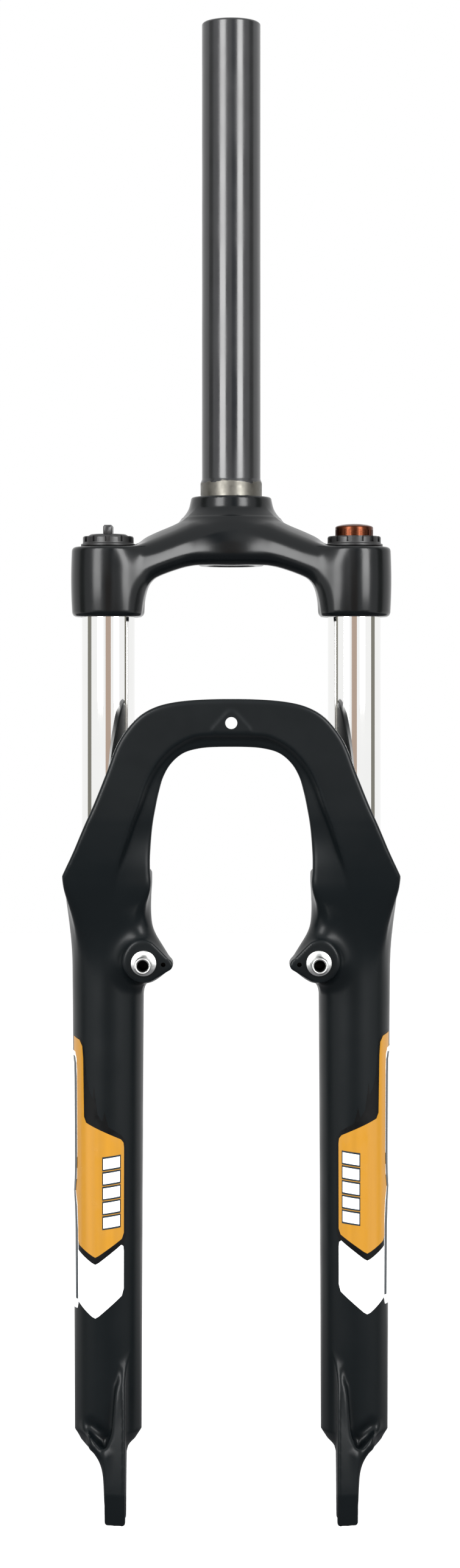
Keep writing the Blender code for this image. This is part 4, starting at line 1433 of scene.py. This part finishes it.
def hide_from_camera(shape, material):
    """Makes a shape part of the stage that only reflections show."""
    shape.data.materials.append(material)
    shape.visible_camera = False
    shape.visible_diffuse = False
    shape.visible_shadow = False
    shape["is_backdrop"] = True


def panel_light(name, bearing, distance, width, low, high, watts):
    """A soft upright light that faces the fork."""
    light = bpy.data.lights.new(name, "AREA")
    light.shape = "RECTANGLE"
    light.size, light.size_y = width, high - low
    light.energy = watts
    made = bpy.data.objects.new(name, light)
    bpy.context.scene.collection.objects.link(made)
    made.location = at_bearing(bearing, distance, (low + high) / 2)
    aim = Vector((0, 0, made.location.z)) - made.location
    made.rotation_euler = aim.to_track_quat("-Z", "Y").to_euler()
    return made


class FORK_OT_stage(bpy.types.Operator):
    """Studio: white surroundings, floor, soft panels and the camera"""

    bl_idname = "fork.stage"
    bl_label = "Studio"

    def execute(self, context):
        scene = context.scene
        sizes, colours = scene.fork_sizes, scene.fork_colours
        world = bpy.data.worlds.new("white_surroundings")
        scene.world = world
        world.use_nodes = True
        background = world.node_tree.nodes["Background"]
        background.inputs["Color"].default_value = (*colours.backdrop, 1)
        background.inputs["Strength"].default_value = 1.0
        scene.view_settings.view_transform = "Standard"
        floor_z = TIP_Z - sizes.floor_drop
        floor = level("floor", (-8, -8), (8, 8), floor_z)
        paper = Surface("floor_paper", (0.85, 0.85, 0.85), 0.9)
        paper.shader.inputs["Emission Color"].default_value = (1, 1, 1, 1)
        paper.shader.inputs["Emission Strength"].default_value = 0.25
        paper.bump(paper.noise(40), 0.02, 0.0005)
        floor.data.materials.append(paper.material)
        floor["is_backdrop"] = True
        # What the chrome and the gloss paint mirror, as bearing, distance, width, foot and top
        card("camera_side", 0, 1.9, 0.74, -0.78, 0.16, glow("dusk", (0.56, 0.43, 0.35), 0.9))
        card("above_camera", 11, 1.9, 0.62, 0.16, 1.6, glow("gap_above", (0.22, 0.24, 0.27), 0.9))
        shade = level("floor_shade", (-1.6, -1.75), (1.6, 1.6), -0.77)
        hide_from_camera(shade, glow("floor_gap", (0.20, 0.20, 0.21), 0.9))
        card("low_front", 0, 1.75, 3.4, -0.78, -0.36, glow("low_gap", (0.25, 0.25, 0.26), 0.9))
        for name, bearing in (("left", -87), ("right", 87)):
            shade = glow(f"{name}_shade", (0.30, 0.29, 0.25), 0.8)
            card(f"{name}_gap", bearing, 2.0, 0.75, -0.9, 1.6, shade)
        for name, bearing, width in (("left", -34, 0.75), ("right", 35.5, 0.68)):
            panel_light(f"{name}_panel", bearing, 1.8, width, -0.10, 1.35, 36)
        camera = bpy.data.cameras.new("camera")
        camera.sensor_width = 36
        camera.lens = 74.08
        camera.shift_y = -0.0536
        camera.clip_end = 50
        eye = bpy.data.objects.new("camera", camera)
        scene.collection.objects.link(eye)
        eye.location = (-0.0006, -sizes.camera_distance, sizes.camera_height)
        eye.rotation_euler = (math.pi / 2, 0, 0)
        scene.camera = eye
        return {"FINISHED"}


class FORK_PT_panel(bpy.types.Panel):
    """The fork's pieces and its studio"""

    bl_idname = "FORK_PT_panel"
    bl_label = "Suspension Fork"
    bl_space_type = "VIEW_3D"
    bl_region_type = "UI"
    bl_category = "Fork"

    def draw(self, context):
        column = self.layout.column()
        for operator in OPERATORS:
            column.operator(operator.bl_idname)
        for group in (context.scene.fork_sizes, context.scene.fork_colours):
            for name in group.bl_rna.properties.keys():
                if name not in ("rna_type", "name"):
                    column.prop(group, name)


OPERATORS = (
    FORK_OT_stage,
    FORK_OT_steerer,
    FORK_OT_crown,
    FORK_OT_stanchions,
    FORK_OT_caps,
    FORK_OT_preload_knob,
    FORK_OT_lockout_lever,
    FORK_OT_lowers,
    FORK_OT_graphics,
    FORK_OT_wipers,
    FORK_OT_brake_studs,
    FORK_OT_foot_bolts,
    FORK_OT_spring,
    FORK_OT_hidden_parts,
)
CLASSES = (ForkSizes, ForkColours, *OPERATORS, FORK_PT_panel)


def register():
    for each in CLASSES:
        bpy.utils.register_class(each)
    bpy.types.Scene.fork_sizes = bpy.props.PointerProperty(type=ForkSizes)
    bpy.types.Scene.fork_colours = bpy.props.PointerProperty(type=ForkColours)


def unregister():
    del bpy.types.Scene.fork_colours
    del bpy.types.Scene.fork_sizes
    for each in reversed(CLASSES):
        bpy.utils.unregister_class(each)


def main():
    register()
    bpy.ops.fork.stage()
    bpy.ops.fork.steerer()
    bpy.ops.fork.crown()
    bpy.ops.fork.stanchions()
    bpy.ops.fork.caps()
    bpy.ops.fork.preload_knob()
    bpy.ops.fork.lockout_lever()
    bpy.ops.fork.lowers()
    bpy.ops.fork.graphics()
    bpy.ops.fork.wipers()
    bpy.ops.fork.brake_studs()
    bpy.ops.fork.foot_bolts()
    bpy.ops.fork.spring()
    bpy.ops.fork.hidden_parts()
    boxes = {"cad": CAD_BOX, "visual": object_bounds()}
    boxes = {name: [list(corner) for corner in ends] for name, ends in boxes.items()}


if __name__ == "__main__":
    main()
